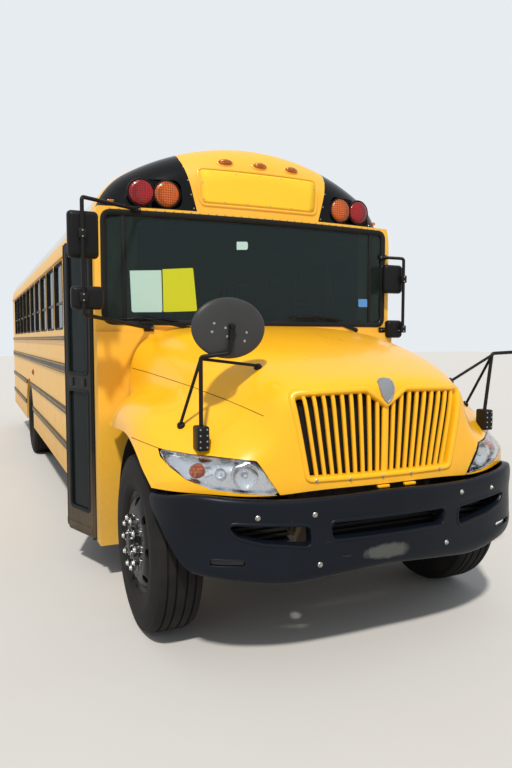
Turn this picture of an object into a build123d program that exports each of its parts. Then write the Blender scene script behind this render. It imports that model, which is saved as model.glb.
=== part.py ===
from build123d import *
import math
import os

os.makedirs("parts", exist_ok=True)

# Driving dimensions, mm. The bus stands on Z = 0 and faces -Y. Its entrance door is on the -X side.
# The origin is on the ground, on the centre line, halfway between the two bumpers' faces.
bus_length = 10970
body_width = 2438  # over the rub rails
roof_height = 3140
wheelbase = 6452
front_overhang = 940  # bumper face to front axle
cowl_setback = 790  # front axle to the body's front plane
hood_length = 1660  # body's front plane to the hood's nose
front_bumper_depth = 70
rear_bumper_depth = 60
wall = 45
rail_depth = 13
running_clearance = 0.05
seat_gap = 0.3  # between parts that only touch

front_y = -bus_length / 2
front_axle_y = front_y + front_overhang
rear_axle_y = front_axle_y + wheelbase
body_y = front_axle_y + cowl_setback
nose_y = body_y - hood_length
tail_y = bus_length / 2 - rear_bumper_depth
side_x = body_width / 2 - rail_depth
inner_x = side_x - wall

# Heights
skirt_z = 450
floor_z = 1100
floor_thickness = 40
roof_crown_r = 1911
roof_corner_r = 500
window_height = 620
window_high_z = roof_height - 723
window_low_z = window_high_z - window_height
roof_rail_z = roof_height - 540  # top of the yellow band over the windows

# Front of the body
brow_r = 290  # rounding of the roof cap over the windshield
bow_depth = 90  # the windshield plane's bow, centre to corner
post_depth = 110
windshield_high_z = roof_height - 568
windshield_low_z = windshield_high_z - 760
windshield_half_x = 1150
cap_low_z = roof_height - 535
cap_depth = 330
cowl_low_z = 265

# Entrance door and steps
door_start = 118  # behind the body's front plane
door_width = 790
door_low_z = 280
door_high_z = roof_height - 728
step_count = 3
step_low_z = 330
stepwell_depth = 700
step_plate = 12
leaf_thickness = 34
leaf_top_gap = 14
leaf_tube_r = 14
door_pin_r = 8
door_pin_length = 40
hinge_inset = 20
leaf_gap = 8
hinge_offset = 6  # hinge line outside the wall's face
bracket_thickness = 10
sill_setback = 16

# Small hinges
hinge_pin_r = 5
knuckle_r = 9
knuckle_gap = 0.3
ear_depth = 15
knuckle_half = 25

# Side windows
window_pitch = 698.5
window_count = 11
window_width = 620
first_window = 1005  # body's front plane to the first window's front edge
sash_z = window_high_z - 375
driver_window_start = 170
driver_window_width = 700

# Wheels
tyre_r = 515
tyre_width = 280
rim_r = 286
front_track_half = 1015
rear_outer_x = 1052
rear_inner_x = 737
kingpin_x = 900
kingpin_r = 22
arch_r = 650
rear_arch_r = 600

# Chassis
rail_outer_x = 430
rail_height = 254
rail_flange = 80
rail_web = 10
rail_top_z = 960
rail_front = 1460  # rail's front end ahead of the body's front plane
tow_hole_r = 20
tow_x = 425
tow_z = 620
rear_bumper_plate = 8
plate_hole_r = 3.5
plate_spacing = (178, 121)
plate_centre = (-800, 900)

bumper_wall = 8
bumper_half_x = 1187

# Hood
hood_low_z = 935
hood_top_z = 1798
hood_wall = 12
hood_gap = 30  # to the cowl
hood_side_x = 1195
hood_bow_r = 3360
hood_corner_r = 500
hood_pivot_back = 160  # behind the nose
hood_pivot_z = 1015
hood_pin_r = 12


def block(x, y, z):
    """A box from three (low, high) pairs."""
    size = Box(x[1] - x[0], y[1] - y[0], z[1] - z[0])
    return Pos((x[0] + x[1]) / 2, (y[0] + y[1]) / 2, (z[0] + z[1]) / 2) * size


def outline(corners):
    """A closed face from rows of u, v and corner radius."""
    count = len(corners)
    starts, mids, ends = [], [], []
    for i, (u, v, r) in enumerate(corners):
        here = Vector(u, v)
        before = (Vector(*corners[i - 1][:2]) - here).normalized()
        after = (Vector(*corners[(i + 1) % count][:2]) - here).normalized()
        half = math.radians(before.get_angle(after)) / 2
        reach = r / math.tan(half) if r else 0
        starts.append(here + before * reach)
        ends.append(here + after * reach)
        bisector = (before + after).normalized() if r else Vector(0, 0)
        mids.append(here + bisector * (r / math.sin(half) - r) if r else here)
    edges = []
    for i in range(count):
        if corners[i][2]:
            edges.append(ThreePointArc(starts[i], mids[i], ends[i]).edge())
        following = starts[(i + 1) % count]
        if (following - ends[i]).length > 0.01:
            edges.append(Line(ends[i], following).edge())
    return Face(Wire(edges))


def across(face, x):
    """Carries a (y, z) face along X, between a low and a high value."""
    return extrude(Plane.YZ.offset(x[0]) * face, x[1] - x[0], dir=(1, 0, 0))


def along(face, y):
    """Carries an (x, z) face along Y."""
    return extrude(Plane.XZ.offset(-y[1]) * face, y[1] - y[0], dir=(0, -1, 0))


def upward(face, z):
    """Carries an (x, y) face along Z."""
    return extrude(Plane.XY.offset(z[0]) * face, z[1] - z[0], dir=(0, 0, 1))


def both(shape):
    """A shape and its mirror image on the other side of the bus."""
    return [shape, mirror(shape, Plane.YZ)]


def rod(start, end, r):
    """A round bar between two points."""
    a, b = Vector(*start), Vector(*end)
    plane = Plane(origin=a, z_dir=(b - a).normalized())
    return extrude(plane * Circle(r), (b - a).length)


def write(name, *shapes):
    """Writes one node; its solids stay separate."""
    solids = [s for shape in shapes for s in shape.solids()]
    shape = solids[0] if len(solids) == 1 else Compound(children=solids)
    export_step(shape, f"parts/{name}.step")


def skin(table, thickness):
    """A shell whose outer face runs through rows of x, y and z, mirrored to both sides."""
    rows = []
    for row in table:
        right = [Vector(-x, y, z) for x, y, z in reversed(row[1:])]
        rows.append(right + [Vector(*point) for point in row])
    face = Face.make_surface_from_array_of_points(rows, smoothing=(1, 1, 1), max_deg=5)
    return Solid.thicken(face, -thickness)


def behind(distance):
    """A Y place, from its distance behind the body's front plane."""
    return body_y + distance


# Body section: straight sides, round shoulders and a shallow crown
def section_points(inset):
    """Shoulder geometry of the roof's outline, moved in by a wall."""
    side = side_x - inset
    crown_r = roof_crown_r - inset
    corner_r = roof_corner_r - inset
    crown_centre = roof_height - roof_crown_r
    corner_x = side - corner_r
    corner_z = crown_centre + math.sqrt((crown_r - corner_r) ** 2 - corner_x**2)
    join_x = corner_x * crown_r / (crown_r - corner_r)
    join_z = crown_centre + math.sqrt(crown_r**2 - join_x**2)
    diagonal = math.radians(45)
    middle = (corner_x + corner_r * math.cos(diagonal), corner_z + corner_r * math.sin(diagonal))
    return side, corner_z, middle, (join_x, join_z), (0, crown_centre + crown_r)


def body_section(inset, low_z):
    """The body's outline in (x, z), from a low edge up."""
    side, shoulder_z, middle, join, crown = section_points(inset)
    edges = [
        Line((side, low_z), (side, shoulder_z)).edge(),
        ThreePointArc((side, shoulder_z), middle, join).edge(),
        ThreePointArc(join, crown, (-join[0], join[1])).edge(),
        ThreePointArc((-join[0], join[1]), (-middle[0], middle[1]), (-side, shoulder_z)).edge(),
        Line((-side, shoulder_z), (-side, low_z)).edge(),
        Line((-side, low_z), (side, low_z)).edge(),
    ]
    return Face(Wire(edges))


shoulder_z = section_points(0)[1]


def bow_face(front, back, half_x):
    """Plan of the bowed front, between its curved face and a flat back."""
    edges = [
        ThreePointArc((-half_x, front + bow_depth), (0, front), (half_x, front + bow_depth)).edge(),
        Line((half_x, front + bow_depth), (half_x, back)).edge(),
        Line((half_x, back), (-half_x, back)).edge(),
        Line((-half_x, back), (-half_x, front + bow_depth)).edge(),
    ]
    return Face(Wire(edges))


bow_front = behind(-56)
post_back = behind(post_depth)
inner_post_x = 1085
plan_full = bow_face(bow_front, post_back, side_x)
plan_inner = bow_face(bow_front + wall, post_back + 1, side_x)


def bowed(face_xz, z):
    """A plate on the bowed front, from its (x, z) outline."""
    plate = along(face_xz, (bow_front - 10, post_back)) & upward(plan_full, z)
    hollow = upward(plan_inner, (z[0] - 1, z[1] + 1)) & block(
        (-inner_post_x, inner_post_x), (bow_front, post_back + 1), (z[0] - 1, z[1] + 1)
    )
    return plate - hollow


# Windshield frame with its corner posts
frame_z = (windshield_low_z - 62, cap_low_z)
opening = outline(
    [
        (-windshield_half_x, windshield_low_z, 110),
        (windshield_half_x, windshield_low_z, 110),
        (windshield_half_x - 12, windshield_high_z, 50),
        (-windshield_half_x + 12, windshield_high_z, 50),
    ]
)
frame_face = body_section(0, frame_z[0])
windshield_frame = bowed(frame_face, frame_z)
windshield_frame -= along(opening, (bow_front - 20, behind(40)))
write("windshield_frame", windshield_frame)

glass_plan = bow_face(bow_front + 12, post_back, side_x) - bow_face(bow_front + 18, post_back + 1, side_x)
glass_edge = outline(
    [
        (-windshield_half_x + 1, windshield_low_z + 1, 109),
        (windshield_half_x - 1, windshield_low_z + 1, 109),
        (windshield_half_x - 13, windshield_high_z - 1, 49),
        (-windshield_half_x + 13, windshield_high_z - 1, 49),
    ]
)
windshield = along(glass_edge, (bow_front - 20, behind(40))) & upward(glass_plan, (1000, 3000))
write("windshield", windshield)

# Cowl: the body's front below the windshield, open over the chassis and the doghouse
cowl_z = (cowl_low_z, frame_z[0])
tunnel_half_x = 540
cowl_face = outline(
    [
        (-side_x, cowl_low_z, 0),
        (-tunnel_half_x, cowl_low_z, 0),
        (-tunnel_half_x, floor_z - floor_thickness, 60),
        (tunnel_half_x, floor_z - floor_thickness, 60),
        (tunnel_half_x, cowl_low_z + 185, 0),
        (side_x, cowl_low_z + 185, 0),
        (side_x, cowl_z[1], 0),
        (-side_x, cowl_z[1], 0),
    ]
)
cowl = along(cowl_face, (behind(-hood_gap + 5), behind(wall)))
cowl_posts = [
    block((-side_x, -inner_post_x), (behind(wall), post_back), (cowl_low_z, cowl_z[1])),
    block((inner_post_x, side_x), (behind(wall), post_back), (cowl_low_z + 185, cowl_z[1])),
]
cowl = cowl + cowl_posts
write("cowl", cowl)

# Roof cap over the windshield: bowed, with a deep rounded brow, the middle yellow and the sides black
cap_back = behind(cap_depth)


def cap_form(inset, back):
    """The cap's outer form, or its hollow when set in by the wall."""
    low = cap_low_z - inset
    form = along(body_section(inset, low), (bow_front - 10, back))
    form &= upward(bow_face(bow_front + inset, back, side_x - inset), (low, roof_height + 1))
    brow = form.edges().filter_by(
        lambda e: e.center().Y < behind(120) and e.center().Z > shoulder_z + 60 and e.center().Z > low + 40
    )
    return fillet(brow, brow_r - inset)


cap_solid = cap_form(0, cap_back)
cap_hollow = cap_form(wall, cap_back + 1)
cap_shell = cap_solid - cap_hollow
panel_low_x = 491
panel_high_x = 590
middle_face = outline(
    [
        (-panel_low_x, cap_low_z - 5, 0),
        (panel_low_x, cap_low_z - 5, 0),
        (panel_high_x, roof_height - 160, 0),
        (panel_high_x, roof_height + 10, 0),
        (-panel_high_x, roof_height + 10, 0),
        (-panel_high_x, roof_height - 160, 0),
    ]
)
visor_depth = 210
middle_cut = along(middle_face, (bow_front - 20, behind(visor_depth)))
front_zone = block((-1300, 1300), (bow_front - 20, behind(visor_depth)), (cap_low_z - 5, roof_height + 5))
visor_panels = (cap_shell & front_zone) - middle_cut
front_cap = cap_shell - visor_panels

# Warning lamps: red outside, amber inside, in pockets of the visor panels
lamp_r = 89
lamp_z = roof_height - 428
lamp_rows = [("amber", 705), ("red", 884)]
lamp_solids = {"amber": [], "red": []}
pod_z = (lamp_z - 100, lamp_z + 100)
pod = outline([(595, pod_z[0], 60), (1000, pod_z[0], 60), (985, pod_z[1], 90), (610, pod_z[1], 60)])
pod_cut = along(pod, (bow_front - 20, bow_front + 88))
visor_panels = visor_panels - both(pod_cut)
for colour, lamp_x in lamp_rows:
    for side in (-1, 1):
        setback = bow_depth * (lamp_x / side_x) ** 2
        face_y = bow_front + setback
        lens = Pos(side * lamp_x, 0, lamp_z) * rod((0, face_y + 2, 0), (0, bow_front + 88, 0), lamp_r)
        lamp_solids[colour].append(lens)
write("front_cap", front_cap)
write("visor_panels", visor_panels)

# Side walls, with windows, the door opening and the rear wheel arches cut
wall_start = post_back
window_start = behind(first_window)


def window_rows():
    """Front edge of each side window."""
    return [window_start + i * window_pitch for i in range(window_count)]


def side_wall(side):
    low_x, high_x = sorted((side * inner_x, side * side_x))
    shape = block((low_x, high_x), (wall_start, tail_y), (skirt_z, shoulder_z))
    cuts = []
    for start in window_rows():
        hole = outline(
            [
                (start, window_low_z, 35),
                (start + window_width, window_low_z, 35),
                (start + window_width, window_high_z, 35),
                (start, window_high_z, 35),
            ]
        )
        cuts.append(across(hole, (low_x - 1, high_x + 1)))
    cuts.append(rod((low_x - 1, rear_axle_y, tyre_r), (high_x + 1, rear_axle_y, tyre_r), rear_arch_r))
    return shape, cuts, (low_x, high_x)


right_shape, right_cuts, right_x = side_wall(-1)
right_cuts.append(
    block(
        (right_x[0] - 1, right_x[1] + 1),
        (wall_start - 1, behind(door_start + door_width)),
        (skirt_z - 1, door_high_z),
    )
)
side_wall_right = right_shape - right_cuts

# Entrance door hinge lines; each leaf turns on a pin in the header and one in the sill
hinge_x = -side_x - hinge_offset
door_y = (behind(door_start), behind(door_start + door_width))
hinge_rows = [("front", door_y[0] + hinge_inset, 1), ("rear", door_y[1] - hinge_inset, -1)]
leaf_top = door_high_z - leaf_top_gap
bracket_reach = leaf_thickness / 2
for name, hinge_y, sign in hinge_rows:
    side_wall_right += block(
        (hinge_x - bracket_reach, -inner_x),
        (hinge_y - bracket_reach, hinge_y + bracket_reach),
        (door_high_z - bracket_thickness, door_high_z),
    )
    side_wall_right += rod(
        (hinge_x, hinge_y, leaf_top - door_pin_length), (hinge_x, hinge_y, door_high_z - 1), door_pin_r
    )
left_shape, left_cuts, left_x = side_wall(1)
driver_window = outline(
    [
        (behind(driver_window_start), window_low_z, 35),
        (behind(driver_window_start + driver_window_width), window_low_z, 35),
        (behind(driver_window_start + driver_window_width), window_high_z, 35),
        (behind(driver_window_start), window_high_z, 35),
    ]
)
left_cuts.append(across(driver_window, (left_x[0] - 1, left_x[1] + 1)))
side_wall_left = left_shape - left_cuts
write("side_wall_right", side_wall_right)

# Split sashes and their glass
sash_depth = 22
sash_width = 24
sashes, panes = [], []
for side in (-1, 1):
    mid_x = side * (inner_x + side_x) / 2
    openings = [(start, window_width) for start in window_rows()]
    if side > 0:
        openings.append((behind(driver_window_start), driver_window_width))
    for start, width in openings:
        low_y, high_y = start + seat_gap, start + width - seat_gap
        low_z, high_z = window_low_z + seat_gap, window_high_z - seat_gap
        frame_outer = outline(
            [(low_y, low_z, 34), (high_y, low_z, 34), (high_y, high_z, 34), (low_y, high_z, 34)]
        )
        holes = []
        for bottom, top in ((low_z, sash_z), (sash_z, high_z)):
            hole = outline(
                [
                    (low_y + sash_width, bottom + sash_width / 2, 12),
                    (high_y - sash_width, bottom + sash_width / 2, 12),
                    (high_y - sash_width, top - sash_width / 2, 12),
                    (low_y + sash_width, top - sash_width / 2, 12),
                ]
            )
            holes.append(hole)
        x_range = (mid_x - sash_depth / 2, mid_x + sash_depth / 2)
        sash = across(frame_outer, x_range)
        for hole in holes:
            sash -= across(hole, (x_range[0] - 1, x_range[1] + 1))
            panes.append(across(hole, (mid_x - 3, mid_x + 3)))
        sashes.append(sash)
write("side_sashes", *sashes)

# Rub rails on both sides
rail_rows = [
    ("window", window_low_z - 89, 36),
    ("seat", window_low_z - 367, 88),
    ("floor", floor_z - 53, 60),
    ("skirt", skirt_z + 271, 60),
]
rails = []
for name, height, width in rail_rows:
    start = behind(door_start + door_width + 20)
    right_rail = block((-side_x - rail_depth, -side_x), (start, tail_y), (height - width / 2, height + width / 2))
    left_rail = block(
        (side_x, side_x + rail_depth), (wall_start + 20, tail_y), (height - width / 2, height + width / 2)
    )
    for rail in (right_rail, left_rail):
        if height - width / 2 < tyre_r + rear_arch_r:
            cut = rod((-1400, rear_axle_y, tyre_r), (1400, rear_axle_y, tyre_r), rear_arch_r + 5)
            rail -= cut
        rails.append(rail)
write("rub_rails", *rails)

# Roof: yellow side rails, white panel with an escape hatch opening
hatch_size = 610
hatch_y = behind(3200)
shell = along(body_section(0, skirt_z), (wall_start, tail_y)) - along(
    body_section(wall, skirt_z - 1), (wall_start - 1, tail_y + 1)
)
shell -= block((-1300, 1300), (wall_start - 1, cap_back), (cap_low_z, roof_height + 1))
roof_side_rails = shell & block((-1300, 1300), (wall_start - 1, tail_y + 1), (shoulder_z, roof_rail_z))
roof_panel = shell & block((-1300, 1300), (cap_back, tail_y), (roof_rail_z, roof_height + 1))
hatch_hole = block(
    (-hatch_size / 2, hatch_size / 2),
    (hatch_y - hatch_size / 2, hatch_y + hatch_size / 2),
    (roof_height - 200, roof_height + 60),
)
curb = block(
    (-hatch_size / 2 - 25, hatch_size / 2 + 25),
    (hatch_y - hatch_size / 2 - 25, hatch_y + hatch_size / 2 + 25),
    (roof_height - 80, roof_height + 14),
)
curb &= block((-1300, 1300), (cap_back, tail_y), (roof_height - 60, roof_height + 14))
roof_panel = (roof_panel + curb) - hatch_hole
write("roof_side_rails", roof_side_rails)
lid_z = (roof_height + 14 + seat_gap, roof_height + 50)
hatch_half = hatch_size / 2 + 38
hatch_axis = (hatch_y - hatch_half - 17, roof_height + 32)
hatch_hinge_rows = [-180, 180]
for x in hatch_hinge_rows:
    for low in (x - knuckle_half - knuckle_gap - ear_depth, x + knuckle_half + knuckle_gap):
        roof_panel += block(
            (low, low + ear_depth),
            (hatch_axis[0] - knuckle_r, hatch_axis[0] + knuckle_r),
            (roof_height - wall / 2, hatch_axis[1]),
        )
        roof_panel += rod((low, *hatch_axis), (low + ear_depth, *hatch_axis), knuckle_r)
    roof_panel += rod(
        (x - knuckle_half - ear_depth, *hatch_axis), (x + knuckle_half + ear_depth, *hatch_axis), hinge_pin_r
    )
write("roof_panel", roof_panel)
roof_hatch = block((-hatch_half, hatch_half), (hatch_y - hatch_half, hatch_y + hatch_half), lid_z)
roof_hatch = fillet(roof_hatch.edges().filter_by(Axis.Z), 60)
roof_hatch = fillet(roof_hatch.faces().sort_by(Axis.Z)[-1].edges(), 18)
for x in hatch_hinge_rows:
    roof_hatch += block(
        (x - knuckle_half, x + knuckle_half),
        (hatch_axis[0], hatch_axis[0] + 35),
        (hatch_axis[1] - 4, hatch_axis[1] + knuckle_r),
    )
    roof_hatch += rod((x - knuckle_half, *hatch_axis), (x + knuckle_half, *hatch_axis), knuckle_r)
    roof_hatch -= rod(
        (x - knuckle_half - 1, *hatch_axis), (x + knuckle_half + 1, *hatch_axis), hinge_pin_r + running_clearance
    )
write("roof_hatch", roof_hatch)

# Rear wall with the emergency door's opening and two windows
rear_thickness = 50
rear_y = (tail_y - rear_thickness, tail_y)
rear_door_half_x = 330
rear_door_z = (floor_z - 20, roof_height - 580)
rear_wall = along(body_section(wall, skirt_z), rear_y)
rear_opening = outline(
    [
        (-rear_door_half_x, rear_door_z[0], 20),
        (rear_door_half_x, rear_door_z[0], 20),
        (rear_door_half_x, rear_door_z[1], 60),
        (-rear_door_half_x, rear_door_z[1], 60),
    ]
)
rear_wall -= along(rear_opening, (rear_y[0] - 1, rear_y[1] + 1))
rear_window_z = (window_low_z - 97, window_high_z - 67)
rear_window = outline(
    [
        (500, rear_window_z[0], 40),
        (1020, rear_window_z[0], 40),
        (1020, rear_window_z[1], 60),
        (500, rear_window_z[1], 60),
    ]
)
rear_window_cut = along(rear_window, (rear_y[0] - 1, rear_y[1] + 1))
rear_wall = rear_wall - both(rear_window_cut)
rail_notch = block(
    (rail_outer_x - rail_flange - seat_gap, rail_outer_x + seat_gap),
    (rear_y[0] - 1, rear_y[1] + 1),
    (rail_top_z - rail_height - seat_gap, rail_top_z + seat_gap),
)
rear_wall = rear_wall - both(rail_notch)
for dx in (-plate_spacing[0] / 2, plate_spacing[0] / 2):
    for dz in (-plate_spacing[1] / 2, plate_spacing[1] / 2):
        px, pz = plate_centre[0] + dx, plate_centre[1] + dz
        rear_wall -= rod((px, rear_y[0] - 1, pz), (px, rear_y[1] + 1, pz), plate_hole_r)
rear_axis = (-rear_door_half_x - 4, tail_y + 12)
rear_hinge_rows = [rear_door_z[0] + 170, (rear_door_z[0] + rear_door_z[1]) / 2, rear_door_z[1] - 210]
for z in rear_hinge_rows:
    for low in (z - knuckle_half - knuckle_gap - ear_depth, z + knuckle_half + knuckle_gap):
        rear_wall += block(
            (rear_axis[0] - 45, rear_axis[0] + knuckle_r),
            (tail_y - 1, rear_axis[1] + knuckle_r),
            (low, low + ear_depth),
        ) - block((-rear_door_half_x, 0), (rear_y[0] - 1, tail_y + 0.5), (low - 1, low + ear_depth + 1))
    rear_wall += rod((*rear_axis, z - knuckle_half - ear_depth), (*rear_axis, z + knuckle_half + ear_depth), hinge_pin_r)
write("rear_wall", rear_wall)
rear_pane = along(rear_window, (rear_y[0] + 20, rear_y[0] + 26))
write("body_glass", *panes, *both(rear_pane))
door_gap = 6
rear_leaf_face = outline(
    [
        (-rear_door_half_x + door_gap, rear_door_z[0] + door_gap, 16),
        (rear_door_half_x - door_gap, rear_door_z[0] + door_gap, 16),
        (rear_door_half_x - door_gap, rear_door_z[1] - door_gap, 55),
        (-rear_door_half_x + door_gap, rear_door_z[1] - door_gap, 55),
    ]
)
rear_leaf_y = (tail_y - 36, tail_y)
rear_door = along(rear_leaf_face, rear_leaf_y)
rear_door_panes = []
for low, high in ((floor_z + 150, floor_z + 520), (floor_z + 600, rear_door_z[1] - 120)):
    hole = outline([(-240, low, 40), (240, low, 40), (240, high, 40), (-240, high, 40)])
    rear_door -= along(hole, (rear_leaf_y[0] - 1, rear_leaf_y[1] + 1))
    rear_door_panes.append(along(hole, (rear_leaf_y[0] + 15, rear_leaf_y[0] + 21)))
for z in rear_hinge_rows:
    strap = block((rear_axis[0], rear_axis[0] + 70), (tail_y + 0.5, tail_y + 8), (z - knuckle_half, z + knuckle_half))
    strap += block((-rear_door_half_x + door_gap, rear_axis[0] + 70), (tail_y - 1, tail_y + 8), (z - knuckle_half, z + knuckle_half))
    rear_door += strap + rod((*rear_axis, z - knuckle_half), (*rear_axis, z + knuckle_half), knuckle_r)
    rear_door -= rod(
        (*rear_axis, z - knuckle_half - 1), (*rear_axis, z + knuckle_half + 1), hinge_pin_r + running_clearance
    )
write("rear_door", rear_door)
write("rear_door_glass", *rear_door_panes)

# Floor, cross beams, wheel housings and the stepwell
floor_y = (behind(wall), tail_y - rear_thickness)
floor = block((-inner_x, inner_x), floor_y, (floor_z - floor_thickness, floor_z))
housing_half = rear_arch_r
housing_x = (560, inner_x)
housing_z = 1190
step_end = behind(door_start + door_width)
step_start = behind(post_depth) + step_plate
well_inner = -inner_x + stepwell_depth
floor -= block((-inner_x - 1, well_inner), (floor_y[0] - 1, step_end), (floor_z - 100, floor_z + 1))
for side in (-1, 1):
    hx = sorted((side * housing_x[0], side * housing_x[1]))
    outer = block(hx, (rear_axle_y - housing_half, rear_axle_y + housing_half), (floor_z - floor_thickness, housing_z))
    hx_in = sorted((side * (housing_x[0] + 10), side * (housing_x[1] + 1)))
    hollow = block(
        hx_in,
        (rear_axle_y - housing_half + 10, rear_axle_y + housing_half - 10),
        (floor_z - floor_thickness - 1, housing_z - 10),
    )
    floor = (floor + outer) - hollow
for side in (-1, 1):
    corner_x = sorted((side * (inner_post_x - seat_gap), side * (inner_x + 1)))
    floor -= block(corner_x, (floor_y[0] - 1, post_back + seat_gap), (floor_z - 100, floor_z + 1))
beam_rows = [behind(1100 + i * window_pitch) for i in range(12)]
for y in beam_rows:
    if abs(y - rear_axle_y) > housing_half + 40 and y < tail_y - 100:
        floor += block(
            (-inner_x + 5, inner_x - 5), (y - 25, y + 25), (rail_top_z, floor_z - floor_thickness)
        )
write("floor", floor)

tread = stepwell_depth / step_count
rise = (floor_z - step_low_z) / step_count
plate = step_plate
stepwell = None
for i in range(step_count):
    x0 = -inner_x + i * tread
    z0 = step_low_z + i * rise
    tread_plate = block((x0, x0 + tread), (step_start, step_end), (z0 - plate, z0))
    riser = block((x0 + tread - plate, x0 + tread), (step_start, step_end), (z0 - plate, z0 + rise))
    stepwell = tread_plate + riser if stepwell is None else stepwell + tread_plate + riser
well_face = [(-inner_x, step_low_z - plate, 0)]
for i in range(step_count):
    x1 = -inner_x + (i + 1) * tread
    well_face.append((x1, step_low_z - plate + i * rise, 0))
    well_face.append((x1, step_low_z - plate + (i + 1) * rise, 0))
well_face[-1] = (well_inner, floor_z - floor_thickness, 0)
well_face.append((-inner_x, floor_z - floor_thickness, 0))
stepwell += along(outline(well_face), (step_end, step_end + plate))
stepwell += along(outline(well_face), (step_start - plate, step_start))
sill_z = (cowl_low_z, step_low_z)
stepwell += block((-side_x + sill_setback, -inner_x), (step_start, step_end), sill_z)
for name, hinge_y, sign in hinge_rows:
    stepwell += block(
        (hinge_x - bracket_reach, -side_x + sill_setback),
        (hinge_y - bracket_reach, hinge_y + bracket_reach),
        (sill_z[0], sill_z[0] + bracket_thickness),
    )
    stepwell += rod(
        (hinge_x, hinge_y, sill_z[0] + 1), (hinge_x, hinge_y, door_low_z + door_pin_length), door_pin_r
    )
write("stepwell", stepwell)

# Frame rails with cross-members and hood pivot brackets
rail_y = (behind(-rail_front), tail_y - seat_gap)
rail_z = (rail_top_z - rail_height, rail_top_z)


def channel(side):
    outer = side * rail_outer_x
    inner = side * (rail_outer_x - rail_flange)
    web = side * (rail_outer_x - rail_web)
    body = block(sorted((outer, inner)), rail_y, rail_z)
    groove = block(sorted((web, inner - side)), (rail_y[0] - 1, rail_y[1] + 1), (rail_z[0] + 10, rail_z[1] - 10))
    return body - groove


frame = channel(-1) + channel(1)
cross_rows = [-1400, 300, 1400, 2700, 4000, 5000, 6300, 7600, 9050]
for distance in cross_rows:
    y = behind(distance)
    frame += block((-rail_outer_x + rail_web, rail_outer_x - rail_web), (y - 30, y + 30), (rail_z[0] + 60, rail_z[1] - 40))
pivot_y = nose_y + hood_pivot_back
pivot_x = 500
pivot_plate = 20
ear_y = (rail_y[0] + 28, rail_y[0] + 68)
for side in (-1, 1):
    bx = sorted((side * rail_outer_x, side * (pivot_x + 45)))
    frame += block(bx, ear_y, (rail_z[0] + 60, rail_z[1]))
    for inner in (pivot_x - 45, pivot_x + 25):
        px = sorted((side * inner, side * (inner + pivot_plate)))
        ear = outline(
            [
                (pivot_y - 28, hood_pivot_z + 28, 27),
                (pivot_y + 28, hood_pivot_z + 28, 27),
                (ear_y[1], rail_z[1], 0),
                (ear_y[1], rail_z[0] + 60, 0),
                (ear_y[0], rail_z[0] + 60, 0),
                (ear_y[0], hood_pivot_z - 75, 10),
                (pivot_y - 28, hood_pivot_z - 22, 10),
            ]
        )
        frame += across(ear, px)
    frame += rod(
        (side * (pivot_x - 45), pivot_y, hood_pivot_z),
        (side * (pivot_x + 45), pivot_y, hood_pivot_z),
        hood_pin_r,
    )

# Engine and radiator
engine = block((-330, 330), (behind(-1180), behind(-60)), (640, 1400))
engine -= block((-rail_outer_x, -rail_outer_x + rail_flange + 15), (behind(-1300), behind(10)), (600, 1000))
engine -= block((rail_outer_x - rail_flange - 15, rail_outer_x), (behind(-1300), behind(10)), (600, 1000))
engine = fillet(engine.edges().filter_by(Axis.Y).group_by(Axis.Z)[-1], 60)
radiator = block((-440, 440), (behind(-1350), behind(-1250)), (rail_top_z, 1430))
write("engine", engine, radiator)

# Front axle: a beam with dropped middle and vertical kingpins
eye_r = 50
eye_half = 70
beam = outline(
    [
        (-kingpin_x, tyre_r - 35, 0),
        (-kingpin_x + 150, tyre_r - 60, 60),
        (-kingpin_x + 260, tyre_r - 95, 60),
        (kingpin_x - 260, tyre_r - 95, 60),
        (kingpin_x - 150, tyre_r - 60, 60),
        (kingpin_x, tyre_r - 35, 0),
        (kingpin_x, tyre_r + 45, 0),
        (kingpin_x - 150, tyre_r + 45, 60),
        (kingpin_x - 260, tyre_r + 10, 60),
        (-kingpin_x + 260, tyre_r + 10, 60),
        (-kingpin_x + 150, tyre_r + 45, 60),
        (-kingpin_x, tyre_r + 45, 0),
    ]
)
front_axle = along(beam, (front_axle_y - 45, front_axle_y + 45))
for side in (-1, 1):
    front_axle += Pos(side * kingpin_x, front_axle_y, tyre_r) * Cylinder(eye_r, 2 * eye_half)
    front_axle += Pos(side * kingpin_x, front_axle_y, tyre_r) * Cylinder(kingpin_r, 2 * eye_half + 90)
write("front_axle", front_axle)

# Leaf springs, front and rear
springs = []
spring_half_x = 40
for axle_y, half, seat_z in ((front_axle_y, 620, tyre_r + 10), (rear_axle_y, 720, tyre_r + 75)):
    eye_z = rail_z[0] - 45
    for side in (-1, 1):
        cx = side * (rail_outer_x - spring_half_x)
        pack = outline(
            [
                (axle_y - half, eye_z - 22, 0),
                (axle_y - 90, seat_z + seat_gap, 60),
                (axle_y + 90, seat_z + seat_gap, 60),
                (axle_y + half, eye_z - 22, 0),
                (axle_y + half, eye_z, 0),
                (axle_y + 90, seat_z + 62, 60),
                (axle_y - 90, seat_z + 62, 60),
                (axle_y - half, eye_z, 0),
            ]
        )
        spring = across(pack, (cx - spring_half_x + 1, cx + spring_half_x - 1))
        for end in (-half, half):
            hanger = block(
                (cx - spring_half_x + 1, cx + spring_half_x - 1),
                (axle_y + end - 25, axle_y + end + 25),
                (eye_z - 25, rail_z[0] - seat_gap),
            )
            spring += hanger
        springs.append(spring)
write("leaf_springs", *springs)

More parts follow.
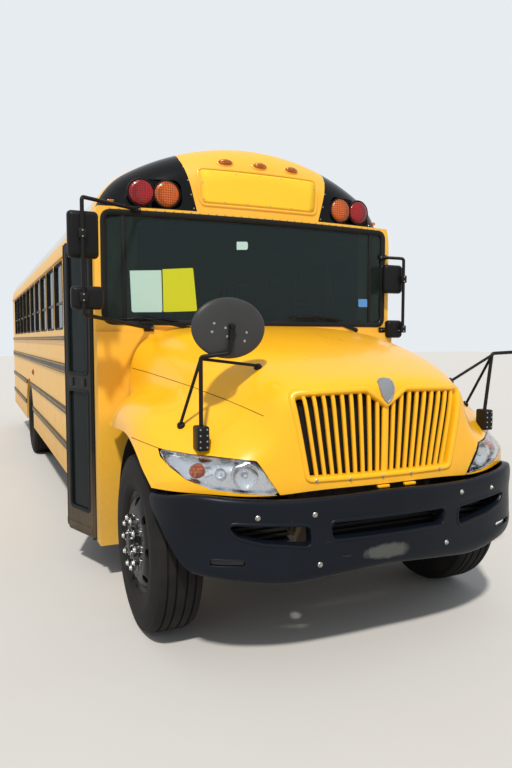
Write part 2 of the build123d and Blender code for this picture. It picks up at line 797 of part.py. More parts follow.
# Rear axle: tube, differential and stub ends
rear_axle = rod((-760, rear_axle_y, tyre_r), (760, rear_axle_y, tyre_r), 75)
differential = rod((-140, rear_axle_y, tyre_r), (140, rear_axle_y, tyre_r), 190)
rear_axle += fillet(differential.edges(), 90)
rear_axle += rod((0, rear_axle_y - 330, tyre_r + 20), (0, rear_axle_y, tyre_r + 20), 95)
spindle_r = 55
rear_axle += rod((-1000, rear_axle_y, tyre_r), (1000, rear_axle_y, tyre_r), spindle_r)
flange_r = 62
flange_depth = 16
shaft_front = (0, behind(-60) + seat_gap, 700)
shaft_back = (0, rear_axle_y - 330 - seat_gap, tyre_r + 20)
shaft = rod(shaft_front, (0, shaft_front[1] + flange_depth, shaft_front[2]), flange_r)
shaft += rod((0, shaft_back[1] - flange_depth, shaft_back[2]), shaft_back, flange_r)
shaft += rod((0, shaft_front[1] + 10, shaft_front[2]), (0, shaft_back[1] - 10, shaft_back[2]), 45)
write("rear_axle", rear_axle, shaft)

# Under-floor tank, battery box and exhaust
fuel_tank = block((-1080, -rail_outer_x - seat_gap), (behind(2300), behind(3500)), (520, 930))
fuel_tank = fillet(fuel_tank.edges().filter_by(Axis.Y), 60)
battery_box = block((rail_outer_x + seat_gap, 1120), (behind(1300), behind(2000)), (560, 900))
battery_box = fillet(battery_box.edges().filter_by(Axis.Z), 15)
write("underfloor_boxes", fuel_tank, battery_box)
pipe_x = 250
pipe_r = 50
muffler_r = 110
exhaust_route = [
    (behind(-60) + seat_gap, 700),
    (behind(0), 700),
    (behind(300), 600),
    (rear_axle_y - 620, 600),
    (rear_axle_y - 330, 800),
    (rear_axle_y + 330, 800),
    (rear_axle_y + 620, 600),
    (tail_y - 150, 560),
]
exhaust = rod((pipe_x, behind(2400), 600), (pipe_x, behind(3500), 600), muffler_r)
for (y0, z0), (y1, z1) in zip(exhaust_route, exhaust_route[1:]):
    exhaust += rod((pipe_x, y0, z0), (pipe_x, y1, z1), pipe_r)
for y0, z0 in exhaust_route[1:-1]:
    exhaust += Pos(pipe_x, y0, z0) * Sphere(pipe_r)
write("exhaust", exhaust)

# Plan of the nose, shared by the hood, the grille, the headlights and the bumper
def nose_plan(front, half_x, back, corner_r=hood_corner_r):
    """Plan of the nose: a shallow bow between two round corners."""
    bow_r = hood_bow_r
    cx = half_x - corner_r
    cy = front + bow_r - math.sqrt((bow_r - corner_r) ** 2 - cx**2)
    join_x = cx * bow_r / (bow_r - corner_r)
    join_y = front + bow_r - math.sqrt(bow_r**2 - join_x**2)
    turn = math.atan2(join_y - cy, join_x - cx) / 2
    mid = (cx + corner_r * math.cos(turn), cy + corner_r * math.sin(turn))
    edges = [
        ThreePointArc((-join_x, join_y), (0, front), (join_x, join_y)).edge(),
        ThreePointArc((join_x, join_y), mid, (half_x, cy)).edge(),
        Line((half_x, cy), (half_x, back)).edge(),
        Line((half_x, back), (-half_x, back)).edge(),
        Line((-half_x, back), (-half_x, cy)).edge(),
        ThreePointArc((-half_x, cy), (-mid[0], mid[1]), (-join_x, join_y)).edge(),
    ]
    return Face(Wire(edges))


def nose_point(length, front, half_x, inset):
    """A place on the nose's plan, by its length along the plan from the centre line."""
    reach = hood_bow_r - hood_corner_r
    corner_x = half_x - hood_corner_r
    turn = math.asin(corner_x / reach)
    corner_y = front + hood_bow_r - reach * math.cos(turn)
    past_bow = length - hood_bow_r * turn
    if past_bow < 0:
        angle = length / hood_bow_r
        r = hood_bow_r - inset
        return r * math.sin(angle), front + hood_bow_r - r * math.cos(angle)
    angle = turn + past_bow / hood_corner_r
    r = hood_corner_r - inset
    return corner_x + r * math.sin(angle), corner_y - r * math.cos(angle)


# Front bumper: a bowed shell with a rolled edge that wraps the corners, with openings in its face
# Columns: length along the plan, heights of the lower and upper edges
bumper_columns = [
    (0, 520, 918),
    (200, 510, 913),
    (400, 495, 908),
    (606, 483, 907),
    (828, 511, 922),
    (952, 528, 934),
    (1080, 544, 939),
    (1217, 552, 922),
    (1340, 560, 914),
    (1470, 566, 911),
]
# Rows: inset, share of the height, height added
bumper_rows = [
    (36, 1, 0),
    (15, 1, -6),
    (4, 1, -34),
    (0, 1, -110),
    (3, 0.5, 0),
    (0, 0, 110),
    (5, 0, 26),
    (20, 0, 1),
    (48, 0, 8),
]
bumper_front = nose_y - front_bumper_depth
bumper_table = []
for inset, share, added in bumper_rows:
    row = []
    for length, low, high in bumper_columns:
        x, y = nose_point(length, bumper_front, bumper_half_x, inset)
        row.append((x, y, low + share * (high - low) + added))
    bumper_table.append(row)
bumper = skin(bumper_table, bumper_wall)
bumper_end = [(-1510, 400, 0), (-1500, 545, 60), (-1250, 872, 40), (-1245, 1000, 0)]
side_profile = outline(
    [(bumper_front - 10, 400, 0)]
    + [(behind(distance), height, r) for distance, height, r in bumper_end]
    + [(bumper_front - 10, 1000, 0)]
)
bumper &= across(side_profile, (-side_x, side_x))
centre_hole = outline([(-350, 688, 25), (350, 688, 25), (365, 780, 25), (-365, 780, 25)])
side_hole = outline([(463, 664, 25), (711, 698, 90), (837, 738, 60), (891, 802, 22), (471, 770, 25)])
slot_hole = outline([(800, 594, 8), (960, 600, 8), (960, 628, 8), (800, 622, 8)])
bumper -= along(centre_hole, (bumper_front - 20, bumper_front + 200))
for hole in (side_hole, slot_hole):
    cut = along(hole, (bumper_front - 20, bumper_front + 300))
    bumper = bumper - both(cut)
write("front_bumper", bumper)

# Frame horns, seated on the bumper's back
horn_z = (590, 800)
horn_width = 60
bumper_clear = skin(bumper_table, bumper_wall + seat_gap)
for side in (-1, 1):
    hx = sorted((side * (rail_outer_x - horn_width), side * rail_outer_x))
    horn = block(hx, (bumper_front - 5, rail_y[0] + 10), (horn_z[0], rail_z[0]))
    horn += block(hx, (bumper_front - 5, rail_y[0] + 100), (rail_z[0], horn_z[1]))
    frame += (horn - bumper_clear).solids().sort_by(Axis.Y)[-1]
write("frame_rails", frame)

# Rear bumper: a steel channel
rear_bumper = block((-1190, 1190), (tail_y, tail_y + rear_bumper_depth), (500, 740))
rear_bumper = fillet(rear_bumper.edges().filter_by(Axis.Z).group_by(Axis.Y)[-1], 45)
bumper_plate_y = tail_y + rear_bumper_depth - rear_bumper_plate
rear_bumper -= block((-1130, 1130), (tail_y - 1, bumper_plate_y), (500 + rear_bumper_plate, 740 - rear_bumper_plate))
for side in (-1, 1):
    tow = (side * tow_x, tail_y + rear_bumper_depth + 1, tow_z)
    rear_bumper -= rod((tow[0], bumper_plate_y - 1, tow[2]), tow, tow_hole_r)
write("rear_bumper", rear_bumper)

# Hood with fenders, tilting forward on its two pivot pins
# Rows from the cowl to the lower lip, columns from the centre to the wheel arch.
# Each place: across, ahead of the body's front, height. Drawn for the half width, length, low edge and top below.
hood_drawn = (1195, 1660, 935, 1798)
hood_rows = [
    [
        (0, 30, 1798), (300, 30, 1795), (580, 30, 1780), (790, 30, 1738), (925, 30, 1655),
        (980, 35, 1520), (990, 45, 1370), (1020, 70, 1245), (1105, 105, 1160), (1150, 110, 1138),
    ],
    [
        (0, 450, 1775), (290, 450, 1770), (570, 450, 1750), (775, 450, 1700), (905, 450, 1605),
        (962, 450, 1480), (1000, 450, 1390), (1105, 450, 1330), (1182, 450, 1225), (1192, 450, 1150),
    ],
    [
        (0, 780, 1735), (280, 780, 1728), (550, 780, 1700), (735, 780, 1642), (855, 780, 1550),
        (915, 780, 1450), (975, 780, 1390), (1090, 780, 1335), (1180, 780, 1240), (1194, 780, 1163),
    ],
    [
        (0, 1080, 1675), (270, 1080, 1667), (530, 1080, 1635), (690, 1080, 1575), (795, 1080, 1490),
        (855, 1080, 1410), (930, 1070, 1352), (1060, 1050, 1285), (1160, 1030, 1190), (1194, 1000, 1112),
    ],
    [
        (0, 1320, 1607), (260, 1320, 1598), (510, 1310, 1568), (645, 1290, 1515), (730, 1270, 1432),
        (790, 1250, 1352), (880, 1240, 1290), (1010, 1200, 1222), (1125, 1160, 1150), (1191, 1110, 1056),
    ],
    [
        (0, 1490, 1548), (260, 1480, 1540), (500, 1460, 1512), (615, 1420, 1462), (690, 1380, 1380),
        (755, 1360, 1300), (850, 1340, 1228), (975, 1300, 1172), (1100, 1240, 1115), (1184, 1170, 1011),
    ],
    [
        (0, 1595, 1502), (260, 1585, 1495), (490, 1550, 1468), (600, 1500, 1415), (665, 1455, 1328),
        (735, 1435, 1245), (830, 1410, 1175), (955, 1360, 1130), (1090, 1285, 1075), (1173, 1212, 974),
    ],
    [
        (0, 1650, 1452), (260, 1640, 1445), (490, 1608, 1418), (592, 1560, 1365), (650, 1520, 1275),
        (720, 1500, 1190), (815, 1475, 1130), (940, 1425, 1090), (1085, 1335, 1040), (1167, 1232, 954),
    ],
    [
        (0, 1660, 1360), (250, 1652, 1355), (480, 1626, 1330), (582, 1590, 1275), (638, 1572, 1195),
        (706, 1560, 1118), (800, 1535, 1078), (930, 1475, 1050), (1085, 1365, 1008), (1164, 1242, 945),
    ],
    [
        (0, 1659, 1150), (240, 1650, 1150), (460, 1628, 1130), (565, 1607, 1105), (628, 1594, 1060),
        (700, 1578, 1015), (795, 1550, 995), (930, 1488, 985), (1085, 1375, 972), (1163, 1246, 940),
    ],
    [
        (0, 1655, 936), (220, 1648, 936), (430, 1626, 930), (545, 1608, 922), (620, 1594, 918),
        (700, 1578, 918), (795, 1550, 922), (930, 1488, 932), (1085, 1375, 938), (1162, 1249, 936),
    ],
]


def hood_place(x, ahead, z):
    """A place of the hood's table, fitted to the driving dimensions."""
    half_x, length, low, top = hood_drawn
    height = hood_low_z + (z - low) * (hood_top_z - hood_low_z) / (top - low)
    return x * hood_side_x / half_x, behind(-ahead * hood_length / length), height


hood = skin([[hood_place(*place) for place in row] for row in hood_rows], hood_wall)
hood -= upward(bow_face(bow_front - 12, post_back, side_x), (floor_z, windshield_high_z))

# Grille: fanned bars in a frame, set into the nose
grille_top = (528, 1425)
grille_low = (441, 990)
notch_half = 124
notch_z = 1345


def grille_outline(i):
    """The grille's opening, moved in by a distance."""
    return outline(
        [
            (-grille_low[0] + i, grille_low[1] + i, 18),
            (grille_low[0] - i, grille_low[1] + i, 18),
            (grille_top[0] - i, grille_top[1] - i, 25),
            (notch_half + i * 0.5, grille_top[1] - i, 12),
            (0, notch_z - i, 12),
            (-notch_half - i * 0.5, grille_top[1] - i, 12),
            (-grille_top[0] + i, grille_top[1] - i, 25),
        ]
    )


hood -= along(grille_outline(0), (nose_y - 20, nose_y + 220))
plan_outer = nose_plan(nose_y + 3, hood_side_x, behind(-1000))
plan_inner_face = nose_plan(nose_y + 3 + 26, hood_side_x, behind(-999))
ring_band = upward(plan_outer - plan_inner_face, (hood_low_z, hood_top_z))
ring = along(grille_outline(seat_gap), (nose_y - 20, nose_y + 220)) - along(
    grille_outline(14), (nose_y - 21, nose_y + 221)
)
bar_count = 20
bar_width = 26
bars = []
grille = ring
for i in range(1, bar_count):
    share = -1 + 2 * i / bar_count
    low_x, top_x = share * grille_low[0], share * grille_top[0]
    bar = outline(
        [
            (low_x - bar_width / 2, grille_low[1], 0),
            (low_x + bar_width / 2, grille_low[1], 0),
            (top_x + bar_width / 2, grille_top[1], 0),
            (top_x - bar_width / 2, grille_top[1], 0),
        ]
    )
    bars.append(along(bar, (nose_y - 20, nose_y + 220)))
grille = (grille + bars) & along(grille_outline(seat_gap), (nose_y - 20, nose_y + 220)) & ring_band
write("grille", grille)

# Headlights in the corners of the fenders
lens_depth = 58
lamp_face = outline(
    [(598, 922, 22), (925, 952, 120), (1088, 1048, 60), (1116, 1130, 20), (900, 1113, 0), (708, 1098, 25)]
)
lamp_zone = along(lamp_face, (nose_y - 20, nose_y + 500))
hood = hood - both(lamp_zone)
lens_face = offset(lamp_face, -seat_gap)
lens_zone = along(lens_face, (nose_y - 20, nose_y + 500))
lens_back = behind(-900)
lens_plan = nose_plan(nose_y, hood_side_x, lens_back) - nose_plan(
    nose_y + lens_depth, hood_side_x - lens_depth, lens_back + 1, hood_corner_r - lens_depth
)
lens_band = upward(lens_plan, (hood_low_z - 50, hood_low_z + 300))
headlight = lens_zone & lens_band
write("headlights", *both(headlight))

# Hood pivot lugs, carried by the nose's inner wall
lug_start = 47
for side in (-1, 1):
    lx = (side * pivot_x - 10, side * pivot_x + 10)
    lug = outline(
        [
            (nose_y + lug_start, hood_pivot_z + 45, 0),
            (nose_y + lug_start, hood_low_z + 10, 0),
            (pivot_y, hood_pivot_z - 26, 0),
            (pivot_y + 26, hood_pivot_z - 26, 25),
            (pivot_y + 26, hood_pivot_z + 26, 25),
        ]
    )
    hood += across(lug, lx)
    hood -= rod(
        (lx[0] - 1, pivot_y, hood_pivot_z), (lx[1] + 1, pivot_y, hood_pivot_z), hood_pin_r + running_clearance
    )
write("hood", hood)

# Steering knuckles: a yoke round the axle's eye, an arm to the rear and a spindle
ear_gap = 5
ear_height = 34
arm_reach = 190
steer_arm_z = tyre_r - eye_half - ear_gap - ear_height / 2
for side, name in ((-1, "knuckle_right"), (1, "knuckle_left")):
    centre = side * kingpin_x
    web = sorted((centre + side * 58, centre + side * 88))
    knuckle = block(web, (front_axle_y - 45, front_axle_y + 45), (tyre_r - 109, tyre_r + 109))
    for ear_z in (tyre_r - eye_half - ear_gap - ear_height, tyre_r + eye_half + ear_gap):
        ear = Pos(centre, front_axle_y, ear_z + ear_height / 2) * Cylinder(45, ear_height)
        bridge = block(
            sorted((centre, centre + side * 60)), (front_axle_y - 45, front_axle_y + 45), (ear_z, ear_z + ear_height)
        )
        knuckle += ear + bridge
    arm = block((centre - 18, centre + 18), (front_axle_y, front_axle_y + arm_reach), (steer_arm_z - 12, steer_arm_z + 12))
    arm += Pos(centre, front_axle_y + arm_reach, steer_arm_z) * Cylinder(24, 24)
    knuckle += arm
    knuckle -= Pos(centre, front_axle_y, tyre_r) * Cylinder(kingpin_r + running_clearance, 400)
    knuckle -= Pos(centre, front_axle_y + arm_reach, steer_arm_z) * Cylinder(10 + running_clearance, 60)
    knuckle += rod(
        (centre + side * 88, front_axle_y, tyre_r),
        (side * (front_track_half + 75), front_axle_y, tyre_r),
        38,
    )
    write(name, knuckle)

tie_z = steer_arm_z - 12 - 24
tie_rod = rod((-kingpin_x, front_axle_y + arm_reach, tie_z), (kingpin_x, front_axle_y + arm_reach, tie_z), 16)
for side in (-1, 1):
    end = Pos(side * kingpin_x, front_axle_y + arm_reach, tie_z) * Cylinder(22, 40)
    pin_r = 10 if side < 0 else 7
    end += Pos(side * kingpin_x, front_axle_y + arm_reach, tie_z + 38) * Cylinder(pin_r, 60)
    tie_rod += end
write("tie_rod", tie_rod)

# Tyres and wheels
tyre_rows = [
    (rim_r, -95, 0),
    (rim_r, 95, 0),
    (rim_r + 18, 118, 8),
    (rim_r + 120, tyre_width / 2, 90),
    (tyre_r - 55, tyre_width / 2 - 8, 40),
    (tyre_r, 110, 22),
    (tyre_r, -110, 22),
    (tyre_r - 55, -tyre_width / 2 + 8, 40),
    (rim_r + 120, -tyre_width / 2, 90),
    (rim_r + 18, -118, 8),
]


def turned(rows, x, y):
    """Revolves rows of radius, width and corner radius about a wheel's axle."""
    profile = outline([(w, r, c) for r, w, c in rows])
    solid = revolve(Plane.XY * profile, Axis.X)
    return Pos(x, y, tyre_r) * solid


# Rim: radius and place along the axle, from the rim's middle plane
rim_rows = [
    (rim_r - 0.5, -94, 0),
    (rim_r - 0.5, 94, 0),
    (rim_r - 14, 94, 0),
    (rim_r - 30, 40, 12),
    (rim_r - 30, -40, 12),
    (rim_r - 14, -94, 0),
]
# Discs: radius and distance along the axle; the front one bulges outward, the rear ones are set back to back
disc_weld_r = rim_r - 16
disc_bore_r = 100
front_disc_rows = [
    (disc_weld_r, 60, 0),
    (205, 112, 10),
    (disc_bore_r, 112, 0),
    (disc_bore_r, 124, 0),
    (212, 124, 15),
    (disc_weld_r, 72, 0),
]
rear_disc_rows = [
    (disc_bore_r, 0, 0),
    (200, 0, 20),
    (disc_weld_r, 100, 0),
    (disc_weld_r, 113, 0),
    (207, 12, 20),
    (disc_bore_r, 12, 0),
]
nut_count = 10
nut_circle_r = 143
nut_r = 17
nut_length = 38
hand_hole_count = 8
hand_hole_circle_r = 240
hand_hole_r = 24
front_face = 124  # front wheel's mounting face, outside the rim's middle plane
front_hub_end = 165
hub_cap_r = 80
drum_r = 190
spindle_bore_end = 76
rear_hub_r = 110
rear_hub_end = 60
rear_drum_depth = 150


def facing(rows, side):
    """Turned rows, with the distance along the axle pointing away from the bus's middle."""
    return [(r, side * w, c) for r, w, c in rows]


def round_row(count, circle_r, r, y, x):
    """Round bars in a ring about an axle, carried between two X places."""
    bars = []
    for i in range(count):
        turn = 2 * math.pi * i / count
        place = (y + circle_r * math.cos(turn), tyre_r + circle_r * math.sin(turn))
        bars.append(rod((x[0], *place), (x[1], *place), r))
    return bars


def axle_rod(x, y, r):
    """A round bar on a wheel's axle between two X places."""
    return rod((x[0], y, tyre_r), (x[1], y, tyre_r), r)


for side, name in ((-1, "right"), (1, "left")):
    x = side * front_track_half
    y = front_axle_y
    write(f"tyre_front_{name}", turned(tyre_rows, x, y))
    hub_face = x + side * front_face
    wheel = turned(rim_rows, x, y) + turned(facing(front_disc_rows, side), x, y)
    wheel -= round_row(hand_hole_count, hand_hole_circle_r, hand_hole_r, y, (x + side * 45, hub_face + side))
    wheel += axle_rod((x - side * 20, x + side * 60), y, drum_r)
    wheel += axle_rod((x + side * 60, hub_face), y, rear_hub_r)
    wheel += axle_rod((hub_face, x + side * front_hub_end), y, hub_cap_r)
    wheel += round_row(nut_count, nut_circle_r, nut_r, y, (hub_face, hub_face + side * nut_length))
    wheel -= axle_rod((x - side * 30, x + side * spindle_bore_end), y, 38 + running_clearance)
    write(f"wheel_front_{name}", wheel)

    y = rear_axle_y
    xo, xi = side * rear_outer_x, side * rear_inner_x
    write(f"tyre_rear_{name}", turned(tyre_rows, xo, y), turned(tyre_rows, xi, y))
    middle = (xo + xi) / 2
    twin = turned(rim_rows, xo, y) + turned(rim_rows, xi, y)
    twin += turned(facing(rear_disc_rows, side), middle, y)
    twin += turned(facing(rear_disc_rows, -side), middle, y)
    twin -= round_row(hand_hole_count, hand_hole_circle_r, hand_hole_r, y, (xi, xo))
    twin += axle_rod((middle, xo + side * rear_hub_end), y, rear_hub_r)
    twin += axle_rod((middle - side * rear_drum_depth, middle), y, drum_r)
    twin += round_row(nut_count, nut_circle_r, nut_r, y, (middle, middle + side * 50))
    twin -= axle_rod((middle - side * (rear_drum_depth + 1), side * 1001), y, spindle_r + running_clearance)
    twin -= axle_rod((middle - side * (rear_drum_depth + 10), middle - side * 70), y, 90)
    write(f"wheel_rear_{name}", twin)

# Entrance door: two outward leaves, each hinged at its post, left ajar
leaf_open = 19
leaf_width = (door_width - 2 * hinge_inset - leaf_gap) / 2


def leaf_face(width):
    return outline([(0, door_low_z, 25), (width, door_low_z, 25), (width, leaf_top, 25), (0, leaf_top, 25)])


def leaf_holes(width):
    rows = [(460, 1330), (1450, door_high_z - 60)]
    return [
        outline([(45, low, 30), (width - 45, low, 30), (width - 45, high, 30), (45, high, 30)]) for low, high in rows
    ]


for name, hinge_y, sign in hinge_rows:
    half_leaf = leaf_thickness / 2
    leaf = across(leaf_face(leaf_width), (-half_leaf, half_leaf))
    glass = []
    for hole in leaf_holes(leaf_width):
        leaf -= across(hole, (-half_leaf - 1, half_leaf + 1))
        glass.append(across(hole, (-3, 3)))
    leaf += rod((0, 0, door_low_z), (0, 0, leaf_top), leaf_tube_r)
    pin_bore = door_pin_r + running_clearance
    leaf -= rod((0, 0, door_low_z - 1), (0, 0, door_low_z + door_pin_length + 5), pin_bore)
    leaf -= rod((0, 0, leaf_top - door_pin_length - 5), (0, 0, leaf_top + 1), pin_bore)
    if sign < 0:
        leaf = mirror(leaf, Plane.XZ)
        glass = [mirror(pane, Plane.XZ) for pane in glass]
    place = Pos(hinge_x, hinge_y, 0) * Rot(0, 0, sign * leaf_open)
    write(f"door_{name}", place * leaf)
    write(f"door_{name}_glass", *[place * pane for pane in glass])

# Stop arm on the driver's side, folded against the body
arm_axis = (side_x + 37, behind(244))
arm_z = (1200, 1280)
arm_thickness = 12
arm_x = arm_axis[0] - arm_thickness / 2
octagon = Plane.YZ * RegularPolygon(229, 8, rotation=22.5)
stop_plate = Pos(arm_x, arm_axis[1] + 306, 1240) * extrude(octagon, arm_thickness, dir=(1, 0, 0))
stop_bar = block((arm_x, arm_x + arm_thickness), (arm_axis[1], arm_axis[1] + 126), arm_z)
stop_arm = stop_plate + stop_bar + rod((*arm_axis, arm_z[0]), (*arm_axis, arm_z[1]), knuckle_r)
stop_arm -= rod((*arm_axis, arm_z[0] - 1), (*arm_axis, arm_z[1] + 1), hinge_pin_r + running_clearance)
write("stop_arm", stop_arm)
for low in (arm_z[0] - knuckle_gap - ear_depth, arm_z[1] + knuckle_gap):
    side_wall_left += block(
        (side_x - 1, arm_axis[0] + knuckle_r),
        (arm_axis[1] - knuckle_r, arm_axis[1] + knuckle_r),
        (low, low + ear_depth),
    )
side_wall_left += rod((*arm_axis, arm_z[0] - ear_depth), (*arm_axis, arm_z[1] + ear_depth), hinge_pin_r)
write("side_wall_left", side_wall_left)

# Rear-view mirrors: a mast on two arms, a flat head over a round one
# The door side's mast stands ahead of the hood's edge, the driver's beside the corner post.
mirror_rod_r = 13
foot_half = 30
foot_height = 23
# Columns: side, mast X, mast ahead of the body, mast's low and high ends, flat head's X and Z, round head's X and Z,
# upper foot's X and Z, lower foot's X and Z; heights count from the windshield's lower edge
mirror_rows = [
    (-1, 1350, 350, 38, 750, 1340, 530, 1320, 143, 930, 778, 850, -36),
    (1, 1272, 40, -50, 545, 1195, 378, 1215, -30, 1140, 560, 1140, -36),
]
mirror_nodes = []
bow_zone = upward(bow_face(bow_front - seat_gap, post_back, side_x), (windshield_low_z - 200, windshield_high_z + 200))
for side, mast_x, ahead, low, high, flat_x, flat_z, round_x, round_z, foot_high_x, foot_high_z, foot_low_x, foot_low_z in mirror_rows:
    mast_y = behind(-ahead)
    mast_ends = [(side * mast_x, mast_y, windshield_low_z + z) for z in (low, high)]
    feet = [
        (side * foot_low_x, behind(-10), windshield_low_z + foot_low_z),
        (side * foot_high_x, behind(-10), windshield_low_z + foot_high_z),
    ]
    arms = [rod(end, foot, mirror_rod_r) for end, foot in zip(mast_ends, feet)]
    blocks = [
        block((x - foot_half, x + foot_half), (behind(-40), behind(30)), (z - foot_height, z + foot_height))
        for x, _, z in feet
    ]
    held = [solid - bow_zone for solid in arms + blocks]
    elbows = [Pos(*end) * Sphere(mirror_rod_r + 4) for end in mast_ends]
    flat_head = Pos(side * flat_x, mast_y - 25, windshield_low_z + flat_z) * Box(200, 60, 300 if side < 0 else 240)
    flat_head = fillet(flat_head.edges().filter_by(Axis.Y), 40)
    round_head = Pos(side * round_x, mast_y - 25, windshield_low_z + round_z) * Box(210 if side < 0 else 160, 60, 150)
    round_head = fillet(round_head.edges().filter_by(Axis.Y), 40)
    mirror_nodes.append(rod(*mast_ends, mirror_rod_r) + elbows + held + flat_head + round_head)
write("mirrors", *mirror_nodes)

# Crossview mirrors: a bent pole on a fender box, two braces and a domed oval head
cross_rod_r = 11
cross_half = (200, 155)
cross_front_depth = 32
cross_back_depth = 52
# Columns: side, box X, pole's bend X, head X, brace feet (X, ahead, Z)
cross_rows = [
    (-1, 935, 935, 790, [(984, 1200, 1318), (583, 1300, 1462)]),
    (1, 935, 985, 1340, [(940, 1200, 1332), (640, 1400, 1440)]),
]
cross_y = behind(-1380)
cross_nodes = []
for side, box_x, bend_x, head_x, braces in cross_rows:
    box = block(
        sorted((side * box_x - 35, side * box_x + 35)), (cross_y - 50, cross_y + 50), (1120, 1245)
    )
    box = (box - hood).solids().sort_by(Axis.Z)[-1]
    bend = (side * bend_x, cross_y, 1610)
    below_head = (side * head_x, cross_y, 1625)
    shape = box + rod((side * box_x, cross_y, 1235), bend, cross_rod_r)
    shape += rod(bend, below_head, cross_rod_r) + rod(below_head, (side * head_x, cross_y, 1760), cross_rod_r)
    shape += [Pos(*corner) * Sphere(cross_rod_r) for corner in (bend, below_head)]
    for foot_x, ahead, foot_z in braces:
        foot = (side * foot_x, behind(-ahead), foot_z)
        brace = rod(bend, foot, cross_rod_r * 0.7) + Pos(*foot) * Sphere(22)
        shape += (brace - hood).solids().sort_by(Axis.Z)[-1]
    centre = Pos(side * head_x, cross_y - 20, 1755)
    dome = Sphere(100)
    front_half = scale(dome & block((-101, 101), (-101, 0), (-101, 101)), (2.0, cross_front_depth / 100, 1.55))
    back_half = scale(dome & block((-101, 101), (0, 101), (-101, 101)), (2.0, cross_back_depth / 100, 1.55))
    cross_nodes.append(shape + centre * (front_half + back_half))
write("crossview_mirrors", *cross_nodes)

# Lamps at the rear
for colour, lamp_x in lamp_rows:
    for side in (-1, 1):
        rear_lamp = (side * (lamp_x - 60), tail_y, rear_door_z[1])
        lens = rod(rear_lamp, (rear_lamp[0], tail_y + 25, rear_lamp[2]), lamp_r)
        lamp_solids[colour].append(lens)
write("lamps_amber", *lamp_solids["amber"])
tail_lamps = []
for side in (-1, 1):
    for lamp_x, lamp_height, r in ((1000, 1250, 89), (800, 1250, 89), (1000, 1050, 50)):
        tail_lamps.append(rod((side * lamp_x, tail_y, lamp_height), (side * lamp_x, tail_y + 20, lamp_height), r))
write("lamps_red", *lamp_solids["red"], *tail_lamps)

# Inside: dashboard, steering wheel, driver's seat and bench seats
dash_y = (behind(wall) + seat_gap, behind(380))
dash = block((-300, inner_post_x - 5), dash_y, (1380, 1700))
column_r = 28
column_foot = (560, behind(300), 1500)
wheel_centre = (560, behind(560), 1860)
wheel_ring_r = 225
column_lean = math.atan2(wheel_centre[1] - column_foot[1], wheel_centre[2] - column_foot[2])
wheel_ring = Pos(*wheel_centre) * Rot(-math.degrees(column_lean), 0, 0) * Torus(wheel_ring_r, 14)
dash += rod(column_foot, wheel_centre, column_r)
dash += rod(
    (wheel_centre[0] - wheel_ring_r, *wheel_centre[1:]), (wheel_centre[0] + wheel_ring_r, *wheel_centre[1:]), 11
)
dash += wheel_ring
write("dashboard", dash)
driver_seat = block((320, 800), (behind(800), behind(1280)), (floor_z + 380, floor_z + 520))
driver_seat += block((320, 800), (behind(1240), behind(1360)), (floor_z + 420, floor_z + 1150))
pedestal = block((430, 690), (behind(900), behind(1200)), (floor_z, floor_z + 380 - seat_gap))

bench_count = 11
bench_pitch = 660
bench_start = 1750
bench_x = (200, inner_x - 10)
seat_height = 420
cushion_thick = 110
cushion_depth = 380
back_thick = 70
bench_solids, leg_solids = [], []
for side in (-1, 1):
    for i in range(bench_count):
        start = behind(bench_start + i * bench_pitch)
        sx = sorted((side * bench_x[0], side * bench_x[1]))
        cushion_low = floor_z + seat_height - cushion_thick
        cushion = block(sx, (start, start + cushion_depth), (cushion_low, floor_z + seat_height))
        back_start = start + cushion_depth + seat_gap
        back = block(sx, (back_start, back_start + back_thick), (cushion_low, floor_z + 1060))
        bench_solids += [cushion, back]
        housing_zone = block(
            sorted((side * (housing_x[0] - seat_gap), side * side_x)),
            (rear_axle_y - housing_half - seat_gap, rear_axle_y + housing_half + seat_gap),
            (floor_z, housing_z + seat_gap),
        )
        for lx in (side * 230, side * 1080):
            leg = block((lx - 20, lx + 20), (start + 90, start + 290), (floor_z, cushion_low - seat_gap))
            leg_solids.append(leg - housing_zone)
write("seats", driver_seat, *bench_solids)
write("seat_legs", pedestal, *leg_solids)
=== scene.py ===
import math
import bmesh
import bpy
import numpy as np
from mathutils import Matrix, Vector
from mathutils.bvhtree import BVHTree


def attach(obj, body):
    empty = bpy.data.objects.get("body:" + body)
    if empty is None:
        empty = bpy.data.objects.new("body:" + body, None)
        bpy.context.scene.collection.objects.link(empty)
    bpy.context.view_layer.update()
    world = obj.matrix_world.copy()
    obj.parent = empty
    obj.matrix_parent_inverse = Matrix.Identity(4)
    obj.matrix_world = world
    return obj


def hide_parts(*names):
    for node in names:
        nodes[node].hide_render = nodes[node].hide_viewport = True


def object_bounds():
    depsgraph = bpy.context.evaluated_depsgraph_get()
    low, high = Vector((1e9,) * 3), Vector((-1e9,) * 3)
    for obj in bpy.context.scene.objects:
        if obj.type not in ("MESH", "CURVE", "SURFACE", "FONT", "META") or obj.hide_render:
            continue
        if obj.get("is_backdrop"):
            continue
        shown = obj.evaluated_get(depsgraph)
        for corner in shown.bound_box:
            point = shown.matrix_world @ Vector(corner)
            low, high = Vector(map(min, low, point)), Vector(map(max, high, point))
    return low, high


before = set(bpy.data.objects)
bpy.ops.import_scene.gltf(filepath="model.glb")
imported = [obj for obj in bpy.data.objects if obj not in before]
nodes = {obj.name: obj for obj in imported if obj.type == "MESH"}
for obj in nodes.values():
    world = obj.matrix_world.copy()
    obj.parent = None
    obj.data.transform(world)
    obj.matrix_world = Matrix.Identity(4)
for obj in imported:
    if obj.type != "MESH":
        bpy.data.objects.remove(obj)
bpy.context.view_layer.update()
print("frame loaded:", len(nodes), "nodes")

frontY = -3.755  # the body's front plane; the tables of places below count Y from it
tailY = 5.425
bow = {"depth": .090, "side": 1.206, "ahead": .056}  # the windshield frame's bowed front, from above
bothSides = ((-1, "Right"), (1, "Left"))


